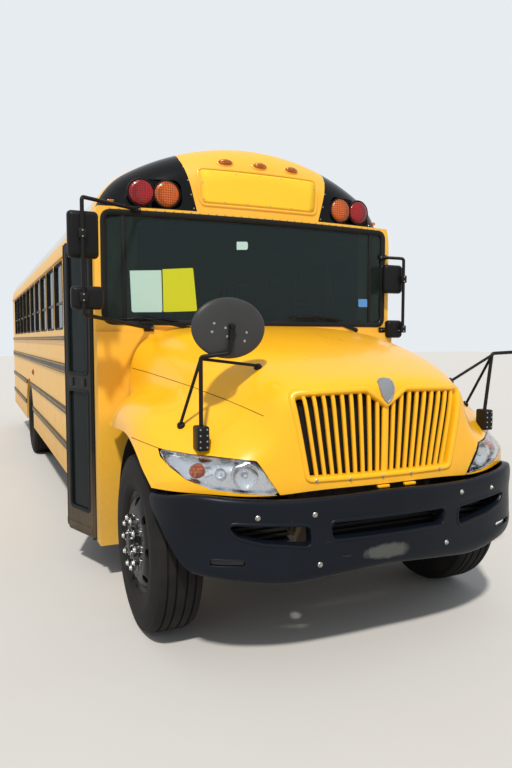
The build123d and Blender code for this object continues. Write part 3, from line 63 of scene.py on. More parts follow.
# Shader wiring
class Wired:  # a shader socket that stands in an expression
    def __init__(self, finish, socket):
        self.finish = finish
        self.socket = socket

    def maths(self, operation, *others):
        return self.finish.node("ShaderNodeMath", {"operation": operation}, [self, *others])

    def __add__(self, other):
        return self.maths("ADD", other)

    def __sub__(self, other):
        return self.maths("SUBTRACT", other)

    def __rsub__(self, other):
        return self.finish.node("ShaderNodeMath", {"operation": "SUBTRACT"}, [other, self])

    def __mul__(self, other):
        return self.maths("MULTIPLY", other)

    def __truediv__(self, other):
        return self.maths("DIVIDE", other)

    def __pow__(self, other):
        return self.maths("POWER", other)

    __radd__ = __add__
    __rmul__ = __mul__


class Finish:
    def __init__(self, name, colour, roughness=.5, **fixed):
        self.material = bpy.data.materials.new(name)
        self.material.use_nodes = True
        self.tree = self.material.node_tree
        self.shader = self.tree.nodes["Principled BSDF"]
        self.colour = (*colour, 1.0)
        self.set("Base Color", self.colour)
        self.set("Roughness", roughness)
        self.set("Specular IOR Level", .35)
        for key, value in fixed.items():
            self.set(key.replace("_", " "), value)

    def node(self, kind, settings=None, values=(), out=0):
        made = self.tree.nodes.new(kind)
        for key, value in (settings or {}).items():
            if key == "stops":
                while len(made.color_ramp.elements) < len(value):
                    made.color_ramp.elements.new(.5)
                for element, (position, shade) in zip(made.color_ramp.elements, value):
                    element.position = position
                    element.color = shade
            else:
                setattr(made, key, value)
        for key, value in values.items() if isinstance(values, dict) else enumerate(values):
            if isinstance(value, Wired):
                self.tree.links.new(value.socket, made.inputs[key])
            else:
                made.inputs[key].default_value = value
        return Wired(self, made.outputs[out])

    def set(self, name, value):
        socket = self.shader.inputs[name]
        if isinstance(value, Wired):
            self.tree.links.new(value.socket, socket)
        else:
            socket.default_value = value

    def place(self, scale=(1, 1, 1)):
        here = self.node("ShaderNodeTexCoord", out="Object")
        return self.node("ShaderNodeMapping", values={"Vector": here, "Scale": scale})

    def axis(self, letter):
        here = self.node("ShaderNodeTexCoord", out="Object")
        return self.node("ShaderNodeSeparateXYZ", values=[here], out="XYZ".index(letter))

    def noise(self, scale, detail=4.0, stretch=(1, 1, 1), roughness=.55):
        values = {"Vector": self.place(stretch), "Scale": scale, "Detail": detail, "Roughness": roughness}
        return self.node("ShaderNodeTexNoise", values=values)

    def ramp(self, factor, low, high):  # 0 below low, 1 above high
        values = {"Value": factor, "From Min": low, "From Max": high}
        return self.node("ShaderNodeMapRange", {"clamp": True}, values)

    def mix(self, factor, first, second, blend="MIX"):
        settings = {"data_type": "RGBA", "blend_type": blend}
        return self.node("ShaderNodeMix", settings, {0: factor, 6: first, 7: second}, out=2)

    def bump(self, height, strength, distance=.001):
        values = {"Height": height, "Strength": strength, "Distance": distance}
        self.set("Normal", self.node("ShaderNodeBump", values=values))


def tinted(colour, share, added=0.0):  # the same colour, lighter or darker
    return (*(c * share + added for c in colour), 1.0)


def paint(name, colour, roughness, coat, fade, dirt, shine=.35):  # enamel with faded patches and dust low down
    made = Finish(name, colour, roughness, Coat_Weight=coat, Coat_Roughness=.08, Specular_IOR_Level=shine)
    patches = made.ramp(made.noise(1.6, 5), .35, .72)
    tone = made.mix(patches * .55, made.colour, (*fade, 1))
    streaks = made.ramp(made.noise(9, 6, (1, 1, .12)), .5, .8)
    low = 1 - made.ramp(made.axis("Z"), .45, 1.35)
    dust = made.ramp(low * .75 + streaks * .3 + made.noise(30, 8) * .25, .45, 1.2) * dirt
    tone = made.mix(dust, tone, (.24, .17, .10, 1))
    specks = made.ramp(made.noise(420, 2), .70, .76)
    made.set("Base Color", made.mix(specks * .25 * dirt, tone, (.16, .11, .06, 1)))
    made.set("Roughness", made.noise(6, 6) * .16 + (roughness - .08) + dust * .35)
    made.bump(made.noise(520, 2) * .35 + made.noise(3.2, 2), .05, .004)
    return made


def plastic(name, colour, roughness, grain, grainSize=900, scuff=0.0, scrape=None):
    made = Finish(name, colour, roughness, Specular_IOR_Level=.16)
    tone = made.mix(made.ramp(made.noise(2.3, 5), .35, .75) * .5, made.colour, tinted(colour, 1.7, .0015))
    if scuff:
        marks = made.ramp(made.noise(14, 8, (.35, .35, 3.4), .7), .66, .72) * scuff
        tone = made.mix(marks, tone, (.10, .105, .11, 1))
    if scrape:  # a worn place: centre X and Z, half width and half height
        x, z, halfX, halfZ = scrape
        away = ((made.axis("X") - x) / halfX) ** 2 + ((made.axis("Z") - z) / halfZ) ** 2 + made.noise(22, 8) * 1.3
        tone = made.mix((1 - made.ramp(away, 1.1, 1.7)) * .85, tone, (.085, .088, .080, 1))
    made.set("Base Color", tone)
    made.set("Roughness", made.noise(11, 6) * .2 + (roughness - .1))
    made.bump(made.noise(grainSize, 3), grain, .0006)
    return made


def metal(name, colour, roughness, brushed=(1, 1, 1), rust=0.0):
    made = Finish(name, colour, roughness, Metallic=1.0)
    tone = made.mix(made.noise(7, 6, brushed), made.colour, tinted(colour, .72))
    if rust:
        spots = made.ramp(made.noise(22, 9), .56, .68) * rust
        tone = made.mix(spots, tone, (.10, .035, .012, 1))
        made.set("Metallic", 1 - spots)
    made.set("Base Color", tone)
    made.set("Roughness", made.noise(30, 5, brushed) * .25 + (roughness - .1))
    made.bump(made.noise(240, 4, brushed), .15, .0006)
    return made


def polished(name, colour, cloud, cloudSize, **fixed):  # mirror glass and clear covers, with a faint haze
    made = Finish(name, colour, .03, **fixed)
    made.set("Roughness", made.noise(*cloudSize) * cloud + .01)
    return made


def glass(name, colour, transmission, haze, bend):
    made = Finish(name, colour, .04, Transmission_Weight=transmission, IOR=bend)
    smear = made.ramp(made.noise(4, 7, (1, 1, .4)), .42, .85)
    made.set("Base Color", made.mix(smear * haze, made.colour, (.10, .13, .14, 1)))
    made.set("Roughness", smear * .10 + .02)
    return made


def lens(name, colour, depth):  # pillow optics moulded into a coloured lens
    made = Finish(name, colour, .16, Coat_Weight=.25, Coat_Roughness=.05, Transmission_Weight=.1)
    values = {"Vector": made.place(), "Scale": 62.0, "Randomness": .12}
    cells = made.node("ShaderNodeTexVoronoi", {"feature": "F1"}, values)
    made.set("Base Color", made.mix(made.ramp(cells, .25, .62), made.colour, tinted(colour, .30)))
    made.set("Roughness", cells * .15 + .12)
    made.bump(1 - cells, depth, .004)
    return made


def rubber(name, colour, roughness):
    made = Finish(name, colour, roughness, Specular_IOR_Level=.14)
    dust = made.ramp(made.noise(5, 7), .35, .8)
    made.set("Base Color", made.mix(dust * .5, made.colour, (.040, .034, .027, 1)))
    made.set("Roughness", dust * .2 + (roughness - .1))
    made.bump(made.noise(160, 6), .25, .0015)
    return made


def vinyl(name, colour):  # grained bench vinyl with soft shine
    made = Finish(name, colour, .45, Sheen_Weight=.2)
    values = {"Vector": made.place(), "Scale": 420.0}
    grain = made.node("ShaderNodeTexVoronoi", {"feature": "DISTANCE_TO_EDGE"}, values)
    worn = made.ramp(made.noise(3, 6), .4, .8)
    made.set("Base Color", made.mix(worn * .5, made.colour, tinted(colour, 1.8, .01)))
    made.set("Roughness", worn * .15 + .38)
    made.bump(made.ramp(grain, 0.0, .12) + made.noise(40, 5) * .6, .35, .0012)
    return made


def paper(name, colour):
    made = Finish(name, colour, .75)
    made.set("Base Color", made.mix(made.noise(35, 5) * .25, made.colour, tinted(colour, .85)))
    made.set("Roughness", made.noise(60, 3) * .1 + .68)
    made.bump(made.noise(300, 4), .1, .0004)
    return made


# Each maker's finishes; the values follow the maker's own arguments after the name
finishValues = {
    paint: {
        "coachYellow": ((.88, .46, .030), .38, .10, (.86, .50, .09), .5),
        "hoodYellow": ((.95, .46, .006), .30, .22, (.94, .48, .014), .2),
        "roofWhite": ((.60, .60, .585), .42, .1, (.53, .525, .50), .8),
        "glossBlack": ((.004, .0045, .005), .18, .05, (.007, .0075, .008), .12, .12),
        "satinBlack": ((.007, .007, .0075), .42, .05, (.012, .012, .0115), .4, .15),
        "chassisBlack": ((.022, .02, .019), .62, 0.0, (.06, .047, .035), 1.0),
        "stopRed": ((.50, .012, .014), .35, .4, (.44, .03, .03), .3),
    },
    plastic: {
        "bumperSkin": ((.0035, .0055, .0095), .36, .25, 700, .5, (-.03, .597, .155, .042)),
        "mouldedBlack": ((.006, .006, .0065), .4, .3),
        "cabinBlack": ((.03, .031, .033), .55, .6, 500),
        "gasket": ((.010, .010, .010), .6, .4, 300),
        "mirrorBack": ((.042, .042, .042), .33, .3, 800),
        "wheelBlack": ((.007, .007, .0075), .34, .3, 400),
    },
    metal: {
        "chrome": ((.78, .78, .80), .16),
        "zinc": ((.50, .49, .46), .38, (1, 1, 1), .35),
        "exhaustSteel": ((.30, .26, .22), .5, (1, .1, 1), .8),
        "castIron": ((.10, .10, .105), .6, (1, 1, 1), .5),
        "plaqueGrey": ((.42, .43, .44), .35),
        "lampSilver": ((.80, .81, .83), .22),
    },
    glass: {
        "windshieldGlass": ((.09, .15, .16), .9, .2, 1.25),
        "cabinGlass": ((.012, .018, .020), .35, .15, 1.16),
    },
    lens: {
        "redLens": ((.42, .003, .006), .5),
        "amberLens": ((.72, .13, .004), .5),
        "markerAmber": ((.90, .24, .01), .2),
    },
    rubber: {
        "tyreRubber": ((.009, .009, .0095), .78),
        "floorRubber": ((.03, .03, .031), .7),
    },
    vinyl: {"benchVinyl": ((.022, .045, .095),)},
    paper: {
        "paleCard": ((.42, .62, .56),),
        "limeCard": ((.52, .56, .015),),
        "signYellow": ((.95, .58, .03),),
        "paleSticker": ((.45, .66, .62),),
        "blueSticker": ((.10, .28, .62),),
    },
}
finishes = {name: maker(name, *values) for maker, rows in finishValues.items() for name, values in rows.items()}
finishes["mirrorGlass"] = polished("mirrorGlass", (.72, .76, .78), .05, (5, 4), Metallic=1.0)
finishes["clearLens"] = polished("clearLens", (.93, .95, .97), .10, (9, 5), Transmission_Weight=1.0, IOR=1.3)
print("finishes:", len(finishes))


# Mesh helpers
def smoothed(mesh, sharp):  # smooth shading, with edges past the angle in degrees left sharp
    mesh.shade_smooth()
    mesh.set_sharp_from_angle(angle=math.radians(sharp))


def piece(name, bm, finishName, sharp=32.0, body="coach", replaced=()):
    bmesh.ops.remove_doubles(bm, verts=bm.verts, dist=1e-5)
    bmesh.ops.recalc_face_normals(bm, faces=bm.faces)
    mesh = bpy.data.meshes.new(name)
    bm.to_mesh(mesh)
    bm.free()
    made = bpy.data.objects.new(name, mesh)
    bpy.context.scene.collection.objects.link(made)
    mesh.materials.append(finishes[finishName].material)
    smoothed(mesh, sharp)
    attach(made, body)
    if replaced:
        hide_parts(*replaced)
    return made


def bake(made, kind, **settings):  # puts one modifier on a piece and applies it
    modifier = made.modifiers.new(kind.title(), kind)
    for key, value in settings.items():
        setattr(modifier, key, value)
    bpy.context.view_layer.update()
    solid = made.evaluated_get(bpy.context.evaluated_depsgraph_get())
    mesh = bpy.data.meshes.new_from_object(solid)
    made.modifiers.clear()
    old = made.data
    made.data = mesh
    bpy.data.meshes.remove(old)


def scratch(bm):  # a helper object that never shows, for booleans
    bmesh.ops.recalc_face_normals(bm, faces=bm.faces)
    mesh = bpy.data.meshes.new("cutter")
    bm.to_mesh(mesh)
    bm.free()
    made = bpy.data.objects.new("cutter", mesh)
    bpy.context.scene.collection.objects.link(made)
    return made


def carve(made, bm, operation="DIFFERENCE"):
    cutter = scratch(bm)
    bake(made, "BOOLEAN", object=cutter, operation=operation, solver="EXACT")
    mesh = cutter.data
    bpy.data.objects.remove(cutter)
    bpy.data.meshes.remove(mesh)


def aim(start, end):  # matrix whose Z runs from start to end
    start, end = Vector(start), Vector(end)
    turn = (end - start).to_track_quat("Z", "Y").to_matrix().to_4x4()
    return Matrix.Translation((start + end) / 2) @ turn


def softened(bm, verts, width, segments=2, angle=30.0):
    edges = [e for e in bm.edges if e.verts[0] in verts and e.verts[1] in verts and e.is_manifold]
    edges = [e for e in edges if e.calc_face_angle(0) > math.radians(angle)]
    bmesh.ops.bevel(bm, geom=edges, offset=width, segments=segments, affect="EDGES", profile=.5, material=-1)


def addBox(bm, low, high, round=0.0, segments=2, matrix=None):  # any two opposite corners
    low, high = Vector(map(min, low, high)), Vector(map(max, low, high))
    made = bmesh.ops.create_cube(bm, size=1.0)["verts"]
    bmesh.ops.scale(bm, vec=high - low, verts=made)
    bmesh.ops.translate(bm, vec=(low + high) / 2, verts=made)
    if matrix:
        bmesh.ops.transform(bm, matrix=matrix, verts=made)
    if round:
        softened(bm, set(made), round, segments)


def addRound(bm, start, end, radius, steps=24, endRadius=None, round=0.0):
    length = (Vector(end) - Vector(start)).length
    top = radius if endRadius is None else endRadius
    made = bmesh.ops.create_cone(
        bm, cap_ends=True, segments=steps, radius1=radius, radius2=top, depth=length, matrix=aim(start, end)
    )["verts"]
    if round:
        softened(bm, set(made), round, 2, 50)


def addHead(bm, where, direction, radius, height=None, steps=8):  # a screw, rivet or bolt head
    where, direction = Vector(where), Vector(direction).normalized()
    addRound(bm, where, where + direction * (height or radius * .5), radius, steps, radius * .6)


def addRod(bm, points, radius, bend=0.0, steps=3):  # a bent round bar
    curve = bpy.data.curves.new("rod", "CURVE")
    curve.dimensions = "3D"
    curve.bevel_depth = radius
    curve.bevel_resolution = steps
    curve.use_fill_caps = True
    points = [Vector(p) for p in points]
    route = [points[0]]
    for before, here, after in zip(points, points[1:], points[2:]):
        route.append(here + (before - here).normalized() * bend)
        route.append(here)
        route.append(here + (after - here).normalized() * bend)
    route.append(points[-1])
    spline = curve.splines.new("NURBS" if bend else "POLY")
    route = route if bend else points
    spline.points.add(len(route) - 1)
    for point, where in zip(spline.points, route):
        point.co = (*where, 1)
    if bend:
        spline.order_u = 3
        spline.use_endpoint_u = True
        spline.resolution_u = 5
    holder = bpy.data.objects.new("rod", curve)
    bpy.context.scene.collection.objects.link(holder)
    bpy.context.view_layer.update()
    mesh = bpy.data.meshes.new_from_object(holder.evaluated_get(bpy.context.evaluated_depsgraph_get()))
    bm.from_mesh(mesh)
    bpy.data.objects.remove(holder)
    bpy.data.curves.remove(curve)
    bpy.data.meshes.remove(mesh)


def addSpin(bm, profile, centre, axis, steps):  # profile: rows of (distance along the axis, radius)
    axis = Vector(axis)
    out = axis.orthogonal().normalized()
    verts = [bm.verts.new(Vector(centre) + axis * along + out * radius) for along, radius in profile]
    edges = [bm.edges.new(pair) for pair in zip(verts, verts[1:])]
    bmesh.ops.spin(
        bm, geom=verts + edges, cent=centre, axis=axis, angle=math.tau, steps=steps, use_merge=True, use_duplicate=False
    )


def addPrism(bm, corners, axis, low, high, round=0.0):  # corners in the plane across the axis letter
    order = {"X": (1, 2, 0), "Y": (0, 2, 1), "Z": (0, 1, 2)}[axis]
    verts = []
    for corner in corners:
        where = [0.0, 0.0, 0.0]
        where[order[0]], where[order[1]], where[order[2]] = corner[0], corner[1], low
        verts.append(bm.verts.new(where))
    face = bm.faces.new(verts)
    grown = bmesh.ops.extrude_face_region(bm, geom=[face])["geom"]
    moved = [g for g in grown if isinstance(g, bmesh.types.BMVert)]
    step = [0.0, 0.0, 0.0]
    step[order[2]] = high - low
    bmesh.ops.translate(bm, vec=step, verts=moved)
    if round:
        softened(bm, set(verts + moved), round)


def roundedOutline(corners, steps=5):  # corners: rows of (u, v, radius); returns the rounded polygon
    result = []
    for i, (u, v, radius) in enumerate(corners):
        here = Vector((u, v))
        before = (Vector(corners[i - 1][:2]) - here).normalized()
        after = (Vector(corners[(i + 1) % len(corners)][:2]) - here).normalized()
        if not radius:
            result.append(here)
            continue
        half = before.angle(after) / 2
        reach = radius / math.tan(half)
        first, last = here + before * reach, here + after * reach
        for k in range(steps + 1):
            t = k / steps
            result.append(first * (1 - t) ** 2 + here * 2 * t * (1 - t) + last * t**2)
    return result


def naturalSpline(marks, rows, samples):  # cubic through rows of numbers at the marks, read at the samples
    marks, rows = np.array(marks, float), np.array(rows, float)
    count = len(marks)
    gap = np.diff(marks)
    system, right = np.eye(count), np.zeros_like(rows)
    for i in range(1, count - 1):
        system[i, i - 1], system[i, i], system[i, i + 1] = gap[i - 1], 2 * (gap[i - 1] + gap[i]), gap[i]
        right[i] = 6 * ((rows[i + 1] - rows[i]) / gap[i] - (rows[i] - rows[i - 1]) / gap[i - 1])
    bend = np.linalg.solve(system, right.reshape(count, -1)).reshape(rows.shape)
    result = []
    for mark in samples:
        i = int(np.clip(np.searchsorted(marks, mark) - 1, 0, count - 2))
        a, b, h = marks[i + 1] - mark, mark - marks[i], gap[i]
        result.append(
            (bend[i] * a**3 + bend[i + 1] * b**3) / (6 * h)
            + (rows[i] / h - bend[i] * h / 6) * a
            + (rows[i + 1] / h - bend[i + 1] * h / 6) * b
        )
    return np.array(result)


def chordMarks(table):  # mean distance between neighbouring columns
    steps = np.linalg.norm(np.diff(table, axis=1), axis=2).mean(axis=0)
    return np.concatenate([[0], np.cumsum(np.maximum(steps, 1e-4))])


def skin(bm, table, acrossCount, alongCount):  # a smooth sheet through a table of points, rows by columns
    table = np.array(table, float)
    columnMarks, rowMarks = chordMarks(table), chordMarks(table.transpose(1, 0, 2))
    rowSamples = np.linspace(0, rowMarks[-1], alongCount + 1)
    columnSamples = np.linspace(0, columnMarks[-1], acrossCount + 1)
    dense = naturalSpline(rowMarks, table, rowSamples)
    dense = naturalSpline(columnMarks, dense.transpose(1, 0, 2), columnSamples)
    verts = bmesh.ops.create_grid(bm, x_segments=acrossCount, y_segments=alongCount, size=1.0)["verts"]
    for vert in verts:
        column = round((vert.co.x + 1) / 2 * acrossCount)
        row = round((vert.co.y + 1) / 2 * alongCount)
        vert.co = dense[column, row]
    bm.normal_update()
    return verts


def at(x, y, z):  # a place whose Y counts from the body's front plane
    return Vector((x, frontY + y, z))


def surfaceOf(nodeName):  # a tree for laying small parts on a CAD node
    mesh = nodes[nodeName].data
    return BVHTree.FromPolygons([v.co.copy() for v in mesh.vertices], [tuple(p.vertices) for p in mesh.polygons])


def cast(tree, start, direction, lift=0.0):  # a place on a surface and its normal, or nothing on a miss
    hit, normal, _, _ = tree.ray_cast(Vector(start), Vector(direction))
    if hit is None:
        return None
    if normal.dot(Vector(direction)) > 0:
        normal = -normal
    return hit + normal * lift, normal


def fromFront(tree, x, z, lift=0.0):
    return cast(tree, (x, frontY - 3, z), (0, 1, 0), lift)


def laidOn(tree):  # lays places across and up on a surface, from the front
    return lambda x, z, lift=0.0: fromFront(tree, x, z, lift)[0]


def sided(corners, side):  # an outline given for the left side, on the left (1) or the right (-1)
    return [(side * x, *rest) for x, *rest in corners]


def rectangle(x, z, width, height, radius, topRadius=None):  # a rounded outline from its lower corner
    top = radius if topRadius is None else topRadius
    return roundedOutline([(x, z, radius), (x + width, z, radius), (x + width, z + height, top), (x, z + height, top)])


def offsetLoop(loop, distance):  # a closed outline moved outward
    area = sum(a.x * b.y - b.x * a.y for a, b in zip(loop, loop[1:] + loop[:1]))
    sign = 1 if area > 0 else -1
    moved = []
    for i, here in enumerate(loop):
        along = (loop[(i + 1) % len(loop)] - loop[i - 1]).normalized()
        moved.append(here + Vector((along.y, -along.x)) * distance * sign)
    return moved


def evenLoop(loop, step):  # the same closed outline with its places evenly spaced
    marks = [0.0]
    closed = loop + loop[:1]
    for a, b in zip(closed, closed[1:]):
        marks.append(marks[-1] + (b - a).length)
    count = max(12, round(marks[-1] / step))
    places = np.linspace(0, marks[-1], count, endpoint=False)
    xs = np.interp(places, marks, [p.x for p in closed])
    ys = np.interp(places, marks, [p.y for p in closed])
    return [Vector((x, y)) for x, y in zip(xs, ys)]


def joinRings(bm, first, second):  # quads between two closed rings of places
    for i, (here, there) in enumerate(zip(first, second)):
        bm.faces.new((here, first[(i + 1) % len(first)], second[(i + 1) % len(first)], there))


def addMoulding(bm, loop, place, rows):  # a closed ring of moulding: rows of (outward, lift) round an outline
    rings = [[bm.verts.new(place(p.x, p.y, lift)) for p in offsetLoop(loop, out)] for out, lift in rows]
    for first, second in zip(rings, rings[1:] + rings[:1]):
        joinRings(bm, first, second)


def addPatch(bm, loop, place, lift, rings=6):  # a sheet filling an outline, laid on a surface
    centre = sum(loop, Vector((0, 0))) / len(loop)
    shares = [1 - i / rings for i in range(rings)]
    layers = [[bm.verts.new(place(*(centre + (p - centre) * share), lift)) for p in loop] for share in shares]
    middle = bm.verts.new(place(*centre, lift))
    for first, second in zip(layers, layers[1:]):
        joinRings(bm, first, second)
    for i, here in enumerate(layers[-1]):
        bm.faces.new((here, layers[-1][(i + 1) % len(loop)], middle))


# Plan of the nose: a shallow bow, a round corner and a straight side
class Plan:
    def __init__(self, front, bow, corner, side):
        self.front, self.bow, self.corner, self.side = front, bow, corner, side
        reach = bow - corner
        cornerX = side - corner
        self.turn = math.asin(cornerX / reach)
        self.cornerCentre = (cornerX, front + bow - reach * math.cos(self.turn))
        self.bowLength = bow * self.turn
        self.cornerLength = corner * (math.pi / 2 - self.turn)

    def point(self, s, inset=0.0):  # s: length along the plan from the centre line
        if s < self.bowLength:
            angle = s / self.bow
            radius = self.bow - inset
            return radius * math.sin(angle), self.front + self.bow - radius * math.cos(angle)
        s -= self.bowLength
        if s < self.cornerLength:
            angle = self.turn + s / self.corner
            radius = self.corner - inset
            x, y = self.cornerCentre
            return x + radius * math.sin(angle), y - radius * math.cos(angle)
        return self.side - inset, self.cornerCentre[1] + s - self.cornerLength


bumperPlan = Plan(-1.730, 3.36, .50, 1.187)
print("helpers ready")

# Hood: one smooth skin with fenders, cut for the grille and the headlamps
hood = {
    "thickness": .009,
    "across": 128,
    "along": 84,
    # rows from the cowl to the lower lip; columns from the centre to the wheel arch; x, y, z
    "rows": [
        [(0, -.03, 1.798), (.3, -.03, 1.795), (.58, -.03, 1.78), (.79, -.03, 1.738), (.925, -.03, 1.655),
         (.98, -.035, 1.52), (.99, -.045, 1.37), (1.02, -.07, 1.245), (1.105, -.105, 1.16), (1.15, -.11, 1.138)],
        [(0, -.45, 1.775), (.29, -.45, 1.77), (.57, -.45, 1.75), (.775, -.45, 1.7), (.905, -.45, 1.605),
         (.962, -.45, 1.48), (1.000, -.45, 1.39), (1.105, -.45, 1.33), (1.182, -.45, 1.225), (1.192, -.45, 1.15)],
        [(0, -.78, 1.735), (.28, -.78, 1.728), (.55, -.78, 1.7), (.735, -.78, 1.642), (.855, -.78, 1.55),
         (.915, -.78, 1.45), (.975, -.78, 1.39), (1.09, -.78, 1.335), (1.18, -.78, 1.24), (1.194, -.78, 1.163)],
        [(0, -1.08, 1.675), (.27, -1.08, 1.667), (.53, -1.08, 1.635), (.69, -1.08, 1.575), (.795, -1.08, 1.49),
         (.855, -1.08, 1.41), (.93, -1.07, 1.352), (1.06, -1.05, 1.285), (1.16, -1.03, 1.19), (1.194, -1.00, 1.112)],
        [(0, -1.32, 1.607), (.26, -1.32, 1.598), (.51, -1.31, 1.568), (.645, -1.29, 1.515), (.73, -1.27, 1.432),
         (.79, -1.25, 1.352), (.88, -1.24, 1.29), (1.01, -1.2, 1.222), (1.125, -1.16, 1.15), (1.191, -1.11, 1.056)],
        [(0, -1.49, 1.548), (.26, -1.48, 1.54), (.5, -1.46, 1.512), (.615, -1.42, 1.462), (.69, -1.38, 1.38),
         (.755, -1.36, 1.3), (.85, -1.34, 1.228), (.975, -1.3, 1.172), (1.1, -1.24, 1.115), (1.184, -1.17, 1.011)],
        [(0, -1.595, 1.502), (.26, -1.585, 1.495), (.49, -1.55, 1.468), (.6, -1.5, 1.415), (.665, -1.455, 1.328),
         (.735, -1.435, 1.245), (.83, -1.41, 1.175), (.955, -1.36, 1.13), (1.09, -1.285, 1.075), (1.173, -1.212, .974)],
        [(0, -1.65, 1.452), (.26, -1.64, 1.445), (.49, -1.608, 1.418), (.592, -1.56, 1.365), (.65, -1.52, 1.275),
         (.72, -1.5, 1.19), (.815, -1.475, 1.13), (.94, -1.425, 1.09), (1.085, -1.335, 1.04), (1.167, -1.232, .954)],
        [(0, -1.66, 1.36), (.25, -1.652, 1.355), (.48, -1.626, 1.33), (.582, -1.59, 1.275), (.638, -1.572, 1.195),
         (.706, -1.56, 1.118), (.8, -1.535, 1.078), (.93, -1.475, 1.05), (1.085, -1.365, 1.008), (1.164, -1.242, .945)],
        [(0, -1.659, 1.15), (.24, -1.65, 1.15), (.46, -1.628, 1.13), (.565, -1.607, 1.105), (.628, -1.594, 1.06),
         (.7, -1.578, 1.015), (.795, -1.55, .995), (.93, -1.488, .985), (1.085, -1.375, .972), (1.163, -1.246, .94)],
        [(0, -1.655, .936), (.22, -1.648, .936), (.43, -1.626, .93), (.545, -1.608, .922), (.62, -1.594, .918),
         (.7, -1.578, .918), (.795, -1.55, .922), (.93, -1.488, .932), (1.085, -1.375, .938), (1.162, -1.249, .936)],
    ],
    "grille": [(-.443, .992, .02), (.443, .992, .02), (.530, 1.424, .035), (.124, 1.432, .02), (0, 1.345, .012),
               (-.124, 1.432, .02), (-.530, 1.424, .035)],
    "lamp": [(.593, .917), (.764, .931), (.922, .955), (1.032, 1.005), (1.085, 1.050), (1.112, 1.095), (1.113, 1.130),
             (1.075, 1.128), (.980, 1.116), (.899, 1.112), (.711, 1.097)],
    # depths between which the openings are cut, counted from the body's front plane
    "grilleCut": (-1.80, -1.35),
    "lampCut": (-1.80, -1.05),
    # shut lines of the upper shell and of the fender, on the left half: x, y, z
    "seams": [
        [(.985, -.080, 1.501), (.979, -.164, 1.498), (.965, -.399, 1.489), (.925, -.692, 1.466),
         (.884, -.934, 1.443), (.829, -1.122, 1.413), (.764, -1.260, 1.381), (.694, -1.404, 1.341),
         (.627, -1.540, 1.300)],
        [(1.195, -.940, 1.157), (1.185, -.981, 1.155), (1.151, -1.113, 1.145), (1.116, -1.197, 1.133),
         (1.087, -1.247, 1.127)],
    ],
    "seamRadius": .0018,
}


def fullRows(rows):  # the other half of each row, mirrored, and Y moved to the bus's frame
    return [
        [(-x, frontY + y, z) for x, y, z in reversed(row[1:])] + [(x, frontY + y, z) for x, y, z in row] for row in rows
    ]


bm = bmesh.new()
skin(bm, fullRows(hood["rows"]), hood["across"], hood["along"])
hoodSurface = BVHTree.FromBMesh(bm)
onNose = laidOn(hoodSurface)
hoodSkin = piece("hoodSkin", bm, "hoodYellow", 40, "hood_assembly", ["hood"])
bake(hoodSkin, "SOLIDIFY", thickness=hood["thickness"], offset=-1.0)
openings = [(roundedOutline(hood["grille"]), hood["grilleCut"])]
openings += [(sided(hood["lamp"], side), hood["lampCut"]) for side in (-1, 1)]
for corners, (near, far) in openings:
    bm = bmesh.new()
    addPrism(bm, corners, "Y", frontY + near, frontY + far)
    carve(hoodSkin, bm)
smoothed(hoodSkin.data, 38)
print("hood skin:", len(hoodSkin.data.polygons), "faces")


def overHood(x, y):  # a place on the hood's upper surface, looking down, and its normal
    return cast(hoodSurface, (x, frontY + y, 3), (0, 0, -1))


# Camera, floor and lights
view = {
    "place": (-1.989, frontY - 4.432, 1.70),
    "turn": 24.0,
    "down": 4.03,
    "lens": 29.95,
    "film": 36.0,
}
cameraData = bpy.data.cameras.new("photoCamera")
cameraData.lens = view["lens"]
cameraData.sensor_fit = "VERTICAL"
cameraData.sensor_height = view["film"]
cameraData.clip_end = 200
camera = bpy.data.objects.new("photoCamera", cameraData)
camera.location = view["place"]
camera.rotation_euler = (math.radians(90 - view["down"]), 0, math.radians(-view["turn"]))
bpy.context.scene.collection.objects.link(camera)
bpy.context.scene.camera = camera
bpy.context.scene.view_settings.view_transform = "Standard"

lighting = {
    "floor": {"size": 60, "colour": (.62, .60, .57, 1), "patches": (.55, .53, .50, 1)},
    "sky": {"Color": (.80, .86, .93, 1), "Strength": .60},
    "seenSky": {"Color": (.80, .84, .88, 1), "Strength": 1.0},  # only what the camera, metal and glass see
    "key": {"from": (-.30, -.52, .80), "power": 3.1, "softness": 4.0, "colour": (1.0, .96, .90)},
}
floorLook = lighting["floor"]
bm = bmesh.new()
bmesh.ops.create_grid(bm, x_segments=1, y_segments=1, size=floorLook["size"])
floorMesh = bpy.data.meshes.new("studioFloor")
bm.to_mesh(floorMesh)
bm.free()
studioFloor = bpy.data.objects.new("studioFloor", floorMesh)
bpy.context.scene.collection.objects.link(studioFloor)
floorFinish = Finish("studioFloor", floorLook["colour"][:3], .8)
patches = floorFinish.noise(1.5, 8) * .3
floorFinish.set("Base Color", floorFinish.mix(patches, floorLook["colour"], floorLook["patches"]))
floorMesh.materials.append(floorFinish.material)
studioFloor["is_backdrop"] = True

world = bpy.data.worlds.new("studio")
bpy.context.scene.world = world
world.use_nodes = True
tree = world.node_tree
skyLight = tree.nodes["Background"]
seenSky = tree.nodes.new("ShaderNodeBackground")
for node, key in ((skyLight, "sky"), (seenSky, "seenSky")):
    for socketName, value in lighting[key].items():
        node.inputs[socketName].default_value = value
rays = tree.nodes.new("ShaderNodeLightPath")
chooser = tree.nodes.new("ShaderNodeMixShader")
direct = rays.outputs["Is Camera Ray"]
for socketName in ("Is Glossy Ray", "Is Transmission Ray"):
    either = tree.nodes.new("ShaderNodeMath")
    either.operation = "MAXIMUM"
    tree.links.new(direct, either.inputs[0])
    tree.links.new(rays.outputs[socketName], either.inputs[1])
    direct = either.outputs[0]
for i, output in enumerate((direct, skyLight.outputs[0], seenSky.outputs[0])):
    tree.links.new(output, chooser.inputs[i])
